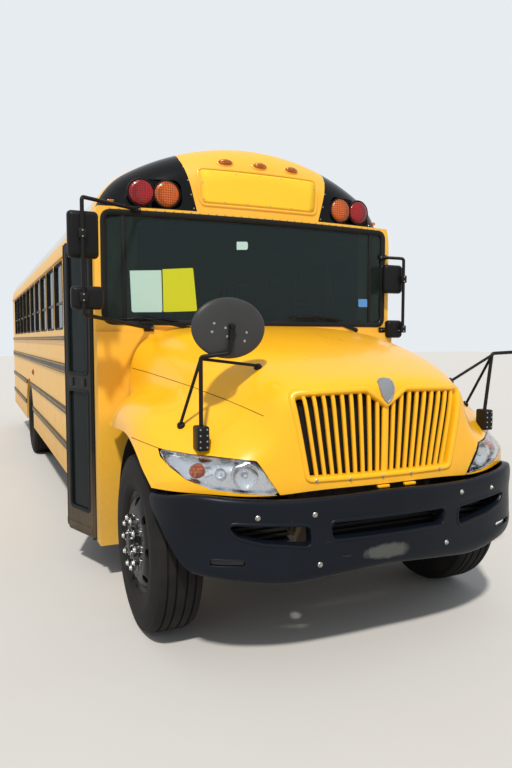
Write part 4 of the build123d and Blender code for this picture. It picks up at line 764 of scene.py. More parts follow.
tree.links.new(chooser.outputs[0], tree.nodes["World Output"].inputs["Surface"])

key = lighting["key"]
sunData = bpy.data.lights.new("keyLight", "SUN")
sunData.energy = key["power"]
sunData.angle = math.radians(key["softness"])
sunData.color = key["colour"]
sun = bpy.data.objects.new("keyLight", sunData)
sun.rotation_euler = Vector(key["from"]).to_track_quat("Z", "Y").to_euler()
bpy.context.scene.collection.objects.link(sun)
print("camera and lights set")

# Finishes of the CAD nodes
nodeFinish = {
    "coachYellow": ["side_wall_right", "side_wall_left", "roof_side_rails", "front_cap", "windshield_frame", "cowl",
                    "rear_wall", "rear_door"],
    "hoodYellow": ["hood", "grille"],
    "roofWhite": ["roof_panel", "roof_hatch"],
    "stopRed": ["stop_arm"],
    "glossBlack": ["visor_panels"],
    "satinBlack": ["side_sashes", "rub_rails", "rear_bumper", "door_front", "door_rear", "wheel_front_right",
                   "wheel_front_left", "wheel_rear_right", "wheel_rear_left"],
    "chassisBlack": ["frame_rails", "front_axle", "leaf_springs", "rear_axle", "underfloor_boxes", "seat_legs",
                     "knuckle_right", "knuckle_left", "tie_rod"],
    "castIron": ["engine"],
    "exhaustSteel": ["exhaust"],
    "bumperSkin": ["front_bumper"],
    "floorRubber": ["floor", "stepwell"],
    "tyreRubber": ["tyre_front_right", "tyre_front_left", "tyre_rear_right", "tyre_rear_left"],
    "windshieldGlass": ["windshield"],
    "cabinGlass": ["body_glass", "rear_door_glass", "door_front_glass", "door_rear_glass"],
    "clearLens": ["headlights"],
    "redLens": ["lamps_red"],
    "amberLens": ["lamps_amber"],
    "mouldedBlack": ["mirrors"],
    "mirrorBack": ["crossview_mirrors"],
    "cabinBlack": ["dashboard"],
    "benchVinyl": ["seats"],
}
for finishName, nodeNames in nodeFinish.items():
    for nodeName in nodeNames:
        mesh = nodes[nodeName].data
        mesh.materials.clear()
        mesh.materials.append(finishes[finishName].material)
print("CAD nodes dressed")

# Bumper: a bowed moulded skin with a rolled edge, lipped openings, bolts and louvres behind
bumper = {
    # length along the plan, lower edge, upper edge
    "columns": [(0, .520, .918), (.2, .510, .913), (.4, .495, .908), (.606, .483, .907), (.828, .511, .922),
                (.952, .528, .934), (1.08, .544, .939), (1.217, .552, .922), (1.34, .560, .914), (1.47, .566, .911)],
    # inset, share of the height, height added
    "rows": [(.046, 1, -.002), (.033, 1, 0), (.011, 1, -.006), (.003, 1, -.026), (.001, 1, -.062), (.002, 1, -.092),
             (.004, 1, -.112), (.005, .5, 0), (.003, 0, .15), (.001, 0, .09), (.003, 0, .026), (.019, 0, .001),
             (.046, 0, .010)],
    "cells": (150, 60),
    "thickness": .006,
    # openings: x, z, corner radius
    "centre": [(-.35, .690, .03), (.35, .690, .03), (.362, .778, .03), (-.362, .778, .03)],
    "side": [(.463, .666, .03), (.711, .700, .09), (.837, .738, .06), (.889, .800, .022), (.471, .768, .03)],
    "slot": [(.80, .594, .008), (.96, .600, .008), (.96, .628, .008), (.80, .622, .008)],
    "cut": (-1.80, -1.30),
    # outline of what is cut away under and behind the ends, seen from the side: y, z
    "ends": [(-1.510, .40), (-1.500, .545), (-1.385, .695), (-1.255, .865), (-1.245, .89), (-1.245, 1.0), (-.9, 1.0),
             (-.9, .40)],
    "lip": [(.018, -.005), (.015, .001), (.009, .0045), (.002, .004), (-.002, 0), (-.004, -.03), (-.006, -.060),
            (.004, -.060), (.006, -.008)],
    "slotTop": .64,  # openings below it are slots, with a slimmer lip
    "bolts": [(-.449, .827), (.487, .850), (-.421, .571), (.373, .584), (-.739, .829), (.748, .842)],
    # louvres behind the openings: x from and to, y
    "backing": [(-.392, .392, -1.590), (.480, .925, -1.455), (-.925, -.480, -1.455)],
    "louvres": 9, "louvrePitch": .030,
}
table = []
for inset, share, added in bumper["rows"]:
    row = []
    for length, low, high in bumper["columns"]:
        x, y = bumperPlan.point(length, inset)
        row.append((x, y, low + share * (high - low) + added))
    table.append(row)
bm = bmesh.new()
skin(bm, fullRows(table), *bumper["cells"])
bumperTree = BVHTree.FromBMesh(bm)
bumperSkin = piece("bumperSkin", bm, "bumperSkin", 50, replaced=["front_bumper"])
bake(bumperSkin, "SOLIDIFY", thickness=bumper["thickness"], offset=-1.0)
outlines = [bumper["centre"]]
for side in (-1, 1):
    outlines += [sided(bumper["side"], side), sided(bumper["slot"], side)]
loops = [evenLoop(roundedOutline(outline), .008) for outline in outlines]
near, far = bumper["cut"]
cutters = [(offsetLoop(loop, .002), "Y", frontY + near, frontY + far) for loop in loops]
cutters.append(([(frontY + y, z) for y, z in bumper["ends"]], "X", -1.3, 1.3))
for cutter in cutters:
    bm = bmesh.new()
    addPrism(bm, *cutter)
    carve(bumperSkin, bm)
smoothed(bumperSkin.data, 50)
bm = bmesh.new()
slimLip = [(out * .35, lift * .4) for out, lift in bumper["lip"]]
for loop in loops:
    slot = max(p.y for p in loop) < bumper["slotTop"]
    addMoulding(bm, loop, laidOn(bumperTree), slimLip if slot else bumper["lip"])
piece("bumperLips", bm, "bumperSkin", 60)
bm = bmesh.new()
for x, z in bumper["bolts"]:
    place, normal = fromFront(bumperTree, x, z)
    addHead(bm, place - normal * .003, normal, .017, .006, 20)
    addHead(bm, place + normal * .002, normal, .0095, .008, 12)
piece("bumperBolts", bm, "zinc")
bm = bmesh.new()
for low, high, ahead in bumper["backing"]:
    y = frontY + ahead
    for i in range(bumper["louvres"]):
        z = .600 + i * bumper["louvrePitch"]
        addPrism(bm, [(y, z), (y - .022, z + .006), (y - .022, z + .016), (y, z + .022)], "X", low, high)
    addBox(bm, (low, y, .585), (high, y + .012, .870), .004)
piece("bumperBacking", bm, "gasket", 30)
print("bumper")

# Grille: rounded fanned bars in a raised frame, with a dark screen behind
grille = {
    # half width and height at the bars' feet and heads, and of the notch over the middle
    "low": (.441, .990), "top": (.528, 1.425), "notch": (.124, 1.345),
    "bars": 20, "width": .021, "middleWidth": 1.9, "depth": .024, "sunk": .006,
    "steps": 12, "facets": 12,
    "frame": [(.024, -.004), (.021, .004), (.012, .0075), (.003, .007), (-.004, .002), (-.008, -.012), (-.009, -.040),
              (.004, -.040), (.010, -.006)],
    "bolts": [(-.405, .982), (-.215, .980), (-.02, .980), (.165, .980), (.37, .982)],
}


def grilleTop(x):  # height of the opening's upper edge
    half, tip = grille["notch"]
    top = grille["top"][1] + .006
    return top if abs(x) > half else tip + (top - tip) * abs(x) / half


def squared(value, power):  # a sine or cosine that gives a rounded square section
    return math.copysign(abs(value) ** power, value)


grilleLoop = evenLoop(roundedOutline(hood["grille"]), .01)
lowHalf, lowZ = grille["low"]
topHalf, topZ = grille["top"]
bm = bmesh.new()
addMoulding(bm, grilleLoop, onNose, grille["frame"])
for i in range(1, grille["bars"]):
    share = -1 + 2 * i / grille["bars"]
    width = grille["width"] * (grille["middleWidth"] if i == grille["bars"] // 2 else 1.0)
    lowX, topX = share * lowHalf, share * topHalf
    high = grilleTop(topX)
    rings = []
    for step in range(grille["steps"] + 1):
        z = lowZ + step / grille["steps"] * (high - lowZ)
        centreX = lowX + (topX - lowX) * (z - lowZ) / (topZ - lowZ)
        ring = []
        for k in range(grille["facets"]):
            angle = math.tau * k / grille["facets"]
            out = -grille["sunk"] - grille["depth"] / 2 + squared(math.cos(angle), .6) * grille["depth"] / 2
            x = centreX + squared(math.sin(angle), .8) * width / 2
            ring.append(bm.verts.new(onNose(x, z, out)))
        rings.append(ring)
    for first, second in zip(rings, rings[1:]):
        joinRings(bm, first, second)
    for ring in (rings[0], rings[-1]):
        bm.faces.new(ring)
piece("grilleBars", bm, "hoodYellow", 50, "hood_assembly", ["grille"])
bm = bmesh.new()
addPatch(bm, offsetLoop(grilleLoop, .012), onNose, -.060)
grilleScreen = piece("grilleScreen", bm, "gasket", body="hood_assembly")
bake(grilleScreen, "SOLIDIFY", thickness=.004, offset=0.0)
bm = bmesh.new()
for x, z in grille["bolts"]:
    place, normal = fromFront(hoodSurface, x, z, .004)
    addHead(bm, place, normal, .012, .004, 16)
    addHead(bm, place + normal * .003, normal, .008, .006, 6)
piece("grilleBolts", bm, "zinc", body="hood_assembly")
print("grille")

# Plaque: a blank shield in the notch over the grille
plaque = {
    "outline": [(-.045, 1.475), (-.030, 1.484), (0, 1.488), (.030, 1.484), (.045, 1.475), (.044, 1.440), (.034, 1.405),
                (.018, 1.377), (0, 1.362), (-.018, 1.377), (-.034, 1.405), (-.044, 1.440)],
    "edge": [(.004, -.002), (.003, .008), (0, .011), (-.005, .010), (-.008, .006), (-.008, -.002)],
}
loop = evenLoop([Vector(p) for p in plaque["outline"]], .006)
bm = bmesh.new()
addMoulding(bm, loop, onNose, plaque["edge"])
addPatch(bm, offsetLoop(loop, -.006), onNose, .0065, 4)
piece("plaque", bm, "plaqueGrey", 40, "hood_assembly")

# Headlights: a silver bucket with two bowls, an amber bulb's bowl outboard and a clear cover over all
lamp = {
    "outline": [(.598, .922, .015), (.764, .931, .2), (.925, .954, .1), (1.035, 1.005, .1), (1.092, 1.060, .04),
                (1.113, 1.128, .012), (.980, 1.118, .3), (.899, 1.112, .3), (.712, 1.098, .02)],
    "rim": [(.006, -.046), (.006, -.012), (.003, -.008), (-.003, -.009), (-.006, -.014), (-.009, -.036),
            (-.010, -.055), (0, -.056)],
    # x, z, radius and depth of the two silver bowls and of the amber one
    "bowls": [(.765, 1.015, .066, .030), (.885, 1.035, .030, .016)],
    "amber": (.985, 1.062, .040),
    "dome": {"low": .92, "height": .21, "rise": .010},
}


def onLens(x, z, lift=0.0):  # flush with the hood's skin, or level with its nearest edge
    for step in range(8):
        shift = Vector((-.006 * step * x, 0, .008 * step))
        found = fromFront(hoodSurface, x + shift.x, z + shift.z, lift - .003)
        if found:
            return found[0] - shift


def domed(x, z, lift):  # the cover's outer face, highest in the middle of its height
    dome = lamp["dome"]
    share = min(1, max(0, (z - dome["low"]) / dome["height"]))
    return onLens(x, z, lift + dome["rise"] * math.sin(math.pi * share) ** 2)


def bowlFrame(side, x, z):  # a bowl's floor and the way that it looks
    place = onLens(side * x, z, -.046)
    return place, (onLens(side * x, z, -.045) - place).normalized()


for side, name in bothSides:
    loop = evenLoop(roundedOutline(sided(lamp["outline"], side)), .01)
    bm = bmesh.new()
    addMoulding(bm, loop, onLens, lamp["rim"])
    addPatch(bm, loop, onLens, -.050)
    for x, z, radius, depth in lamp["bowls"]:
        place, axis = bowlFrame(side, x, z)
        bowl = [(0, radius * 1.08), (depth, radius * 1.06), (depth, radius), (depth * .55, radius * .82),
                (depth * .2, radius * .5), (.003, .004)]
        addSpin(bm, bowl, place, axis, 32)
        bulb = Matrix.Translation(place + axis * depth * .6)
        bmesh.ops.create_uvsphere(bm, u_segments=16, v_segments=10, radius=radius * .2, matrix=bulb)
    piece(f"lampBucket{name}", bm, "lampSilver", 40, "hood_assembly", ["headlights"])
    bm = bmesh.new()
    x, z, radius = lamp["amber"]
    bowl = [(0, radius), (.012, radius), (.022, radius * .8), (.028, radius * .45), (.030, .002)]
    addSpin(bm, bowl, *bowlFrame(side, x, z), 32)
    piece(f"lampAmber{name}", bm, "amberLens", 40, "hood_assembly")
    bm = bmesh.new()
    addPatch(bm, offsetLoop(loop, -.001), domed, -.002, 8)
    cover = piece(f"lampCover{name}", bm, "clearLens", 60, "hood_assembly")
    bake(cover, "SOLIDIFY", thickness=.003, offset=-1.0)
print("headlights")

# Wheels and tyres, turned about each axle; profiles run away from the bus's middle: distance, radius
wheels = {
    "tyreHalf": [(.022, .515), (.024, .504), (.032, .504), (.034, .515), (.070, .514), (.072, .503), (.080, .503),
                 (.082, .5135), (.106, .509), (.121, .499), (.1255, .489), (.1235, .484), (.131, .472), (.1375, .440),
                 (.1385, .437), (.1385, .428), (.1400, .425), (.1400, .395), (.1385, .372), (.1350, .346),
                 (.1355, .342), (.1290, .322), (.1190, .304), (.1080, .292), (.0950, .2865), (.0860, .300),
                 (.1050, .335), (.1150, .390), (.1060, .450), (.0860, .482)],
    "rim": [(-.100, .2950), (-.1045, .2955), (-.1050, .2850), (-.0960, .2790), (-.0900, .2700), (-.0600, .2570),
            (-.0400, .2530), (.0400, .2530), (.0600, .2570), (.0900, .2700), (.0960, .2790), (.1050, .2850),
            (.1045, .2955), (.1000, .2950), (.0955, .2855), (-.0955, .2855)],
    "nuts": 10, "nutCircle": .143, "holes": 8, "holeCircle": .2395, "holeSize": .026,
    # front and rear: tyres' and disc's distance out, place along, where nuts and hub studs sit, studs' circle
    "front": {
        "tyres": [1.015], "disc": 1.015, "y": -4.545, "nutFace": .126, "studFace": .152, "studCircle": .067,
        "body": "front_wheel",
        "plate": [(.060, .268), (.083, .262), (.104, .238), (.112, .214), (.114, .196), (.112, .105), (.124, .105),
                  (.126, .192), (.1255, .206), (.122, .222), (.112, .246), (.092, .268)],
        "hub": [(.110, .002), (.110, .108), (.128, .108), (.133, .100), (.134, .088), (.150, .084), (.153, .078),
                (.153, .056), (.166, .052), (.170, .044), (.171, .002)],
    },
    "rear": {
        "tyres": [1.052, .737], "disc": .8945, "y": 1.907, "nutFace": .013, "studFace": .155, "studCircle": .083,
        "body": "rear_wheels",
        "plate": [(0, .105), (0, .196), (.012, .214), (.055, .238), (.095, .268), (.108, .268), (.066, .232),
                  (.024, .207), (.012, .192), (.012, .105)],
        "hub": [(.002, .002), (.002, .108), (.040, .108), (.050, .100), (.150, .098), (.156, .090), (.156, .074),
                (.190, .070), (.200, .060), (.201, .002)],
    },
}
tyreProfile = wheels["tyreHalf"] + [(-w, r) for w, r in reversed(wheels["tyreHalf"])]
tyreZ = .515
frontAxleY, rearAxleY = wheels["front"]["y"], wheels["rear"]["y"]


def closedSpin(bm, profile, centre, side, steps=96):  # a closed profile turned about an axle
    addSpin(bm, sided(profile + profile[:1], side), centre, (1, 0, 0), steps)


def ring(count, radius, x, y):  # places round an axle
    for i in range(count):
        angle = math.tau * i / count
        yield Vector((x, y + radius * math.cos(angle), tyreZ + radius * math.sin(angle)))


def wheelSet(end, side, name):
    axle = wheels[end]
    y, discX = axle["y"], side * axle["disc"]
    title, body = end.title() + name, f"{axle['body']}_{name.lower()}"
    bm, rimBm = bmesh.new(), bmesh.new()
    for x in axle["tyres"]:
        closedSpin(bm, tyreProfile, (side * x, y, tyreZ), side, 128)
        closedSpin(rimBm, wheels["rim"], (side * x, y, tyreZ), side)
    piece(f"tyre{title}", bm, "tyreRubber", 28, body, [f"tyre_{end}_{name.lower()}"])
    bm = bmesh.new()
    closedSpin(bm, axle["plate"], (discX, y, tyreZ), side)
    if len(axle["tyres"]) > 1:
        closedSpin(bm, axle["plate"], (discX, y, tyreZ), -side)
    plate = piece(f"disc{title}", bm, "wheelBlack", 30, body)
    bm = bmesh.new()
    for place in ring(wheels["holes"], wheels["holeCircle"], discX, y):
        reach = Vector((.2, 0, 0))
        addRound(bm, place - reach, place + reach, wheels["holeSize"], 20)
    carve(plate, bm)
    addSpin(rimBm, sided(axle["hub"], side), (discX, y, tyreZ), (1, 0, 0), 64)
    piece(f"rim{title}", rimBm, "wheelBlack", 32, body, [f"wheel_{end}_{name.lower()}"])
    bm = bmesh.new()
    out = Vector((side, 0, 0))
    for place in ring(wheels["nuts"], wheels["nutCircle"], discX + side * axle["nutFace"], y):
        addRound(bm, place, place + out * .005, .021, 20)
        addRound(bm, place + out * .005, place + out * .037, .020, 6)
        addRound(bm, place, place + out * .048, .0125, 12, None, .002)
    for place in ring(wheels["nuts"], axle["studCircle"], discX + side * axle["studFace"], y):
        addRound(bm, place, place + out * .010, .010, 6)
        addRound(bm, place, place + out * .018, .006, 10)
    piece(f"nuts{title}", bm, "chrome", 30, body)


for side, name in bothSides:
    for end in ("front", "rear"):
        wheelSet(end, side, name)
print("wheels")

# Mirrors: bent tube frames with moulded heads, and domed oval crossview heads on fender brackets
mirror = {
    "tube": .0127, "tubeBend": .045, "shellDepth": .060, "glassEdge": .014,
    # mast x, y, low, high; heads: x, z, width, height; upper foot, lower foot
    "frames": [
        (1.350, -.350, 1.850, 2.562, (1.340, 2.342, .200, .300), (1.320, 1.955, .210, .150),
         (.930, 2.590), (.850, 1.776)),
        (1.272, -.040, 1.762, 2.357, (1.195, 2.190, .190, .240), (1.215, 1.782, .160, .150),
         (1.140, 2.372), (1.140, 1.776)),
    ],
}
bowTree = surfaceOf("windshield_frame")


def addShell(bm, centre, width, height, depth):  # a moulded mirror head, smaller at its front
    made = bmesh.ops.create_cube(bm, size=1.0)["verts"]
    bmesh.ops.scale(bm, vec=(width, depth, height), verts=made)
    for vert in made:
        if vert.co.y < 0:
            vert.co.x *= .90
            vert.co.z *= .93
    bmesh.ops.translate(bm, vec=centre, verts=made)
    softened(bm, set(made), .028, 5)


for (side, name), (mastX, mastY, low, high, upper, lower, *footPlaces) in zip(bothSides, mirror["frames"]):
    mastX *= side
    feet = []
    for x, z in footPlaces:
        found = fromFront(bowTree, side * x, z)
        feet.append((side * x, found[0].y - frontY if found else -.01, z))
    (topX, topY, topZ), (footX, footY, footZ) = feet
    bm = bmesh.new()
    route = [at(topX, topY - .02, topZ), at(mastX, mastY - .045, high), at(mastX, mastY - .045, low),
             at(footX, footY - .02, footZ)]
    addRod(bm, route, mirror["tube"], mirror["tubeBend"], 4)
    for x, y, z in feet:
        addBox(bm, at(x - .034, y - .030, z - .020), at(x + .034, y + .002, z + .020), .006)
    for _, z, _, _ in (upper, lower):
        addBox(bm, at(mastX - .024, mastY - .061, z - .030), at(mastX + .024, mastY - .020, z + .030), .006)
    piece(f"mirrorFrame{name}", bm, "satinBlack", 35, replaced=["mirrors"])
    bm, glassBm = bmesh.new(), bmesh.new()
    for x, z, width, height in (upper, lower):
        addShell(bm, at(side * x, mastY, z), width, height, mirror["shellDepth"])
        halfX, halfZ = width / 2 - mirror["glassEdge"], height / 2 - mirror["glassEdge"]
        low, high = Vector((-halfX, .0295, -halfZ)), Vector((halfX, .0325, halfZ))
        addBox(glassBm, at(side * x, mastY, z) + low, at(side * x, mastY, z) + high, .001)
    piece(f"mirrorHeads{name}", bm, "mouldedBlack", 45)
    piece(f"mirrorGlass{name}", glassBm, "mirrorGlass")
    bm = bmesh.new()
    for _, z, _, _ in (upper, lower):
        for dz in (-.0182, .0182):
            addHead(bm, at(mastX, mastY - .061, z + dz), (0, -1, 0), .006)
    for x, y, z in feet:
        for dx in (-.022, .022):
            addHead(bm, at(x + dx, y - .030, z), (0, -1, 0), .0055)
    piece(f"mirrorBolts{name}", bm, "zinc")

crossview = {
    "y": -1.380, "half": (.200, .155), "tube": .011, "brace": .0085,
    # box x, bend x, head x, brace feet
    "arms": [(.935, .935, .790, [(.984, -1.200), (.583, -1.300)]),
             (.935, .985, 1.340, [(.940, -1.200), (.640, -1.400)])],
    "centreZ": 1.755, "back": .034,
    # depth, size of the rim as a share, and the rows that close the back
    "parts": [("Shell", -.034, 1, [(.004, 1), (.006, .96), (.006, .001)], "mirrorBack"),
              ("Glass", .050, .955, [(0, .955), (0, .955 * .96), (0, .001)], "mirrorGlass")],
    "screws": [(-.089, .022), (-.100, -.020), (.085, -.022), (.075, -.065), (-.030, 0), (-.020, -.043)],
    "boxScrews": [1.155, 1.185, 1.215, 1.245],
}
halfX, halfZ = crossview["half"]
for (side, name), (boxX, bendX, headX, feet) in zip(bothSides, crossview["arms"]):
    y = crossview["y"]
    boxX, bendX, headX = side * boxX, side * bendX, side * headX
    bm = bmesh.new()
    addBox(bm, at(boxX - .032, y - .045, 1.135), at(boxX + .032, y + .045, 1.262), .012, 3)
    bend = at(bendX, y, 1.610)
    route = [at(boxX, y, 1.25), bend, at(headX + side * .012, y - .066, 1.628), at(headX, y - .070, 1.765)]
    addRod(bm, route, crossview["tube"], .035, 4)
    addRound(bm, at(headX, y - .050, 1.762), at(headX, y - .084, 1.762), .017, 20, .014, .003)
    for footX, footY in feet:
        foot, normal = overHood(side * footX, footY)
        addRod(bm, [bend - Vector((0, 0, .01)), foot + normal * .012], crossview["brace"])
        addRound(bm, foot - normal * .002, foot + normal * .016, .024, 24, .018, .003)
    addBox(bm, at(headX - .016, y - .066, 1.690), at(headX + .016, y - .046, 1.775), .006)
    piece(f"crossFrame{name}", bm, "satinBlack", 35, "hood_assembly", ["crossview_mirrors"])
    centre = at(headX, y - .020, crossview["centreZ"])
    for part, depth, rim, edge, finishName in crossview["parts"]:
        turns = [math.pi / 2 * t for t in np.linspace(1, 0, 14)]
        profile = [(depth * math.sin(turn), rim * math.cos(turn) + 1e-4) for turn in turns]
        bm = bmesh.new()
        addSpin(bm, profile + edge, (0, 0, 0), (0, 1, 0), 56)
        bmesh.ops.scale(bm, vec=(halfX, 1, halfZ), verts=bm.verts)
        bmesh.ops.translate(bm, vec=centre, verts=bm.verts)
        piece(f"cross{part}{name}", bm, finishName, 50, "hood_assembly")
    bm = bmesh.new()
    for dx, dz in crossview["screws"]:
        depth = crossview["back"] * math.sqrt(1 - (dx / halfX) ** 2 - (dz / halfZ) ** 2)
        addHead(bm, centre + Vector((dx, .001 - depth, dz)), (0, -1, 0), .0085, .004)
    for z in crossview["boxScrews"]:
        for dx in (-.018, .018):
            addHead(bm, at(boxX + dx, y - .045, z), (0, -1, 0), .005)
    piece(f"crossScrews{name}", bm, "zinc", body="hood_assembly")
print("mirrors")

# Visor: domed warning lamps in bezels, a blank raised sign panel, amber marker lamps and rows of rivets
visor = {
    "lampZ": 2.712, "red": .884, "amber": .705, "radius": .087,
    "rearZ": 2.56, "rearShift": -.060,
    "sign": [(-.452, 2.672, .02), (.452, 2.672, .02), (.470, 2.905, .03), (-.470, 2.905, .03)],
    "signFrame": [(.016, -.003), (.012, .006), (.004, .009), (-.004, .006), (-.007, -.003)],
    "markers": [-.267, 0, .267], "markerZ": 2.972,
    "sideMarker": (1.075, 2.652),
    "rivets": [(.515, 2.625), (.535, 2.72), (.555, 2.82), (.575, 2.92), (.70, 2.615), (.85, 2.615), (1.0, 2.62)],
    "rivetRow": 2.592,
    # tail lamps: x, z, radius
    "tailRed": [(1.0, 1.25, .087), (1.0, 1.05, .049)],
    "tailAmber": (.80, 1.25, .087),
}
capTree = surfaceOf("front_cap")
panelTree = surfaceOf("visor_panels")
onCap = laidOn(capTree)


def onVisor(x, z):  # whichever of the cap and its black panels is met first from the front
    hits = [fromFront(tree, x, z) for tree in (capTree, panelTree)]
    return min((hit for hit in hits if hit), key=lambda hit: hit[0].y, default=None)


def bowSet(x):  # how far the bowed front of the windshield frame stands behind the front plane
    return bow["depth"] * (x / bow["side"]) ** 2 - bow["ahead"]


def addLamp(bm, bezelBm, place, axis, radius):  # a domed lens in a rolled bezel
    dome = [(-.012, .001), (-.012, radius), (.004, radius), (.012, radius * .93), (.018, radius * .7),
            (.021, radius * .35), (.022, .001)]
    rolled = [(-.012, .001), (.003, .001), (.007, .004), (.006, .010), (-.004, .013), (-.012, .013), (-.012, .001)]
    addSpin(bm, dome, place, axis, 40)
    addSpin(bezelBm, [(along, radius + out) for along, out in rolled], place, axis, 40)


lampY, backward = tailY + .012, Vector((0, 1, 0))
bezelBm, redBm, amberBm = bmesh.new(), bmesh.new(), bmesh.new()
for side in (-1, 1):
    for key, lensBm in (("red", redBm), ("amber", amberBm)):
        x = visor[key]
        axis = Vector((side * .10 * x, -1, 0)).normalized()
        addLamp(lensBm, bezelBm, at(side * x, bowSet(x) + .012, visor["lampZ"]), axis, visor["radius"])
        x += visor["rearShift"]
        addLamp(lensBm, bezelBm, (side * x, lampY, visor["rearZ"]), backward, visor["radius"])
    for x, z, radius in visor["tailRed"]:
        addLamp(redBm, bezelBm, (side * x, lampY, z), backward, radius)
    x, z, radius = visor["tailAmber"]
    addLamp(amberBm, bezelBm, (side * x, lampY, z), backward, radius)
piece("redLenses", redBm, "redLens", 50, replaced=["lamps_red"])
piece("amberLenses", amberBm, "amberLens", 50, replaced=["lamps_amber"])
piece("lampBezels", bezelBm, "mouldedBlack", 40)
signLoop = evenLoop(roundedOutline(visor["sign"]), .02)
bm = bmesh.new()
addPatch(bm, signLoop, onCap, .0035, 8)
bake(piece("signPanel", bm, "signYellow", 40), "SOLIDIFY", thickness=.003, offset=-1.0)
bm = bmesh.new()
addMoulding(bm, offsetLoop(signLoop, .012), onCap, visor["signFrame"])
piece("signFrame", bm, "coachYellow", 40)
bm, baseBm = bmesh.new(), bmesh.new()
for x in visor["markers"]:
    place, normal = fromFront(capTree, x, visor["markerZ"])
    turn = normal.to_track_quat("Z", "X").to_matrix().to_4x4()
    across = abs((turn @ Vector((1, 0, 0))).x) < .5
    for target, (length, width, height), lift in ((bm, (.056, .025, .028), .003), (baseBm, (.070, .034, .009), 0)):
        made = bmesh.ops.create_uvsphere(target, u_segments=24, v_segments=12, radius=1.0)["verts"]
        size = Matrix.Diagonal((width, length, height, 1) if across else (length, width, height, 1))
        matrix = Matrix.Translation(place + normal * lift) @ turn @ size
        bmesh.ops.transform(target, matrix=matrix, verts=made)
for side in (-1, 1):
    x, z = visor["sideMarker"]
    turn = Matrix.Translation(onVisor(side * x, z)[0]) @ Matrix.Rotation(side * .16, 4, "Z")
    addBox(bm, (-.028, -.010, -.011), (.028, .010, .011), .006, 3, turn)
piece("markerLenses", bm, "markerAmber", 60)
piece("markerBases", baseBm, "coachYellow", 60)
bm = bmesh.new()
for x in np.linspace(-1.10, 1.10, 36):
    found = fromFront(bowTree, x, visor["rivetRow"])
    if found:
        addHead(bm, *found, .0052, .003)
for side in (-1, 1):
    for x, z in visor["rivets"]:
        found = onVisor(side * x, z)
        if found:
            addHead(bm, *found, .006, .003)
for p in offsetLoop(signLoop, -.012)[::9]:
    addHead(bm, *fromFront(capTree, p.x, p.y, .003), .005, .003)
piece("visorRivets", bm, "zinc")
print("visor")

# Windshield: rubber gasket, corner bars, blank papers, stickers and wipers
windshield = {
    "outline": [(-1.15, 1.812, .07), (1.15, 1.812, .07), (1.15, 2.572, .06), (-1.15, 2.572, .06)],
    "gasket": [(.016, -.004), (.014, .004), (.004, .007), (-.014, .005), (-.024, -.003), (-.024, -.013)],
    "bar": 1.010, "barMiddle": 2.192, "barHalf": (.014, .372),
    "cards": {
        "paleCard": [(-.970, 2.173), (-.751, 2.183), (-.746, 1.890), (-.960, 1.886)],
        "limeCard": [(-.743, 2.190), (-.522, 2.207), (-.494, 1.901), (-.739, 1.890)],
        "paleSticker": [(-.190, 2.410), (-.102, 2.416), (-.102, 2.357), (-.190, 2.352)],
        "blueSticker": [(.898, 2.023), (.990, 2.026), (.991, 1.961), (.899, 1.959)],
    },
    # wipers: pivot x, z; tip x, z; blade's two ends
    "wipers": [((.864, 1.772), (.485, 1.880), (.250, 1.862), (.720, 1.852)),
               ((-.533, 1.772), (-.860, 1.840), (-1.06, 1.838), (-.640, 1.830))],
    "armWidth": (.014, .006),
}


def onBow(x, z, lift=0.0):  # the windshield frame's bowed front face
    normal = Vector((2 * bow["depth"] * x / bow["side"] ** 2, -1, 0)).normalized()
    return at(x, bowSet(x), z) + normal * lift


bm = bmesh.new()
addMoulding(bm, evenLoop(roundedOutline(windshield["outline"]), .02), onBow, windshield["gasket"])
halfX, halfZ = windshield["barHalf"]
for side in (-1, 1):
    x = side * windshield["bar"]
    place = Matrix.Translation(onBow(x, windshield["barMiddle"], -.009))
    turn = Matrix.Rotation(math.atan(2 * bow["depth"] * x / bow["side"] ** 2), 4, "Z")
    addBox(bm, (-halfX, -.005, -halfZ), (halfX, .006, halfZ), .004, 2, place @ turn)
piece("windshieldGasket", bm, "gasket", 40)
for name, corners in windshield["cards"].items():
    bm = bmesh.new()
    addPatch(bm, evenLoop([Vector(c) for c in corners], .02), onBow, -.0105, 5)
    card = piece(name, bm, name, sharp=40)
    bake(card, "SOLIDIFY", thickness=.0006, offset=-1.0)
    card.data.shade_flat()
bm = bmesh.new()
for pivot, tip, *blade in windshield["wipers"]:
    base, top = onBow(*pivot, .012), onBow(*tip, .016)
    addRound(bm, base - Vector((0, -.03, 0)), base, .020, 20, .016, .004)
    along = (top - base).normalized()
    foot, point = windshield["armWidth"]
    corners = [(end.x + wide * along.z, end.z - wide * along.x)
               for end, wide in ((base, foot), (top, point), (top, -point), (base, -foot))]
    addPrism(bm, corners, "Y", base.y - .006, base.y + .004, .002)
    first, last = (onBow(*place, .006) for place in blade)
    addRod(bm, [first, last], .006, 0, 1)
    for share in (.12, .37, .63, .88):
        place = first.lerp(last, share)
        addBox(bm, place - Vector((.014, .012, .006)), place + Vector((.014, .004, .010)), .003)
    lift = Vector((0, -.012, .010))
    bridge = [first.lerp(last, .1), first.lerp(last, .3) + lift, first.lerp(last, .7) + lift, first.lerp(last, .9)]
    addRod(bm, bridge, .004, .02, 2)
    addRod(bm, [top, first.lerp(last, .5) + lift], .005, 0, 1)
piece("wipers", bm, "satinBlack", 40)
print("windshield")

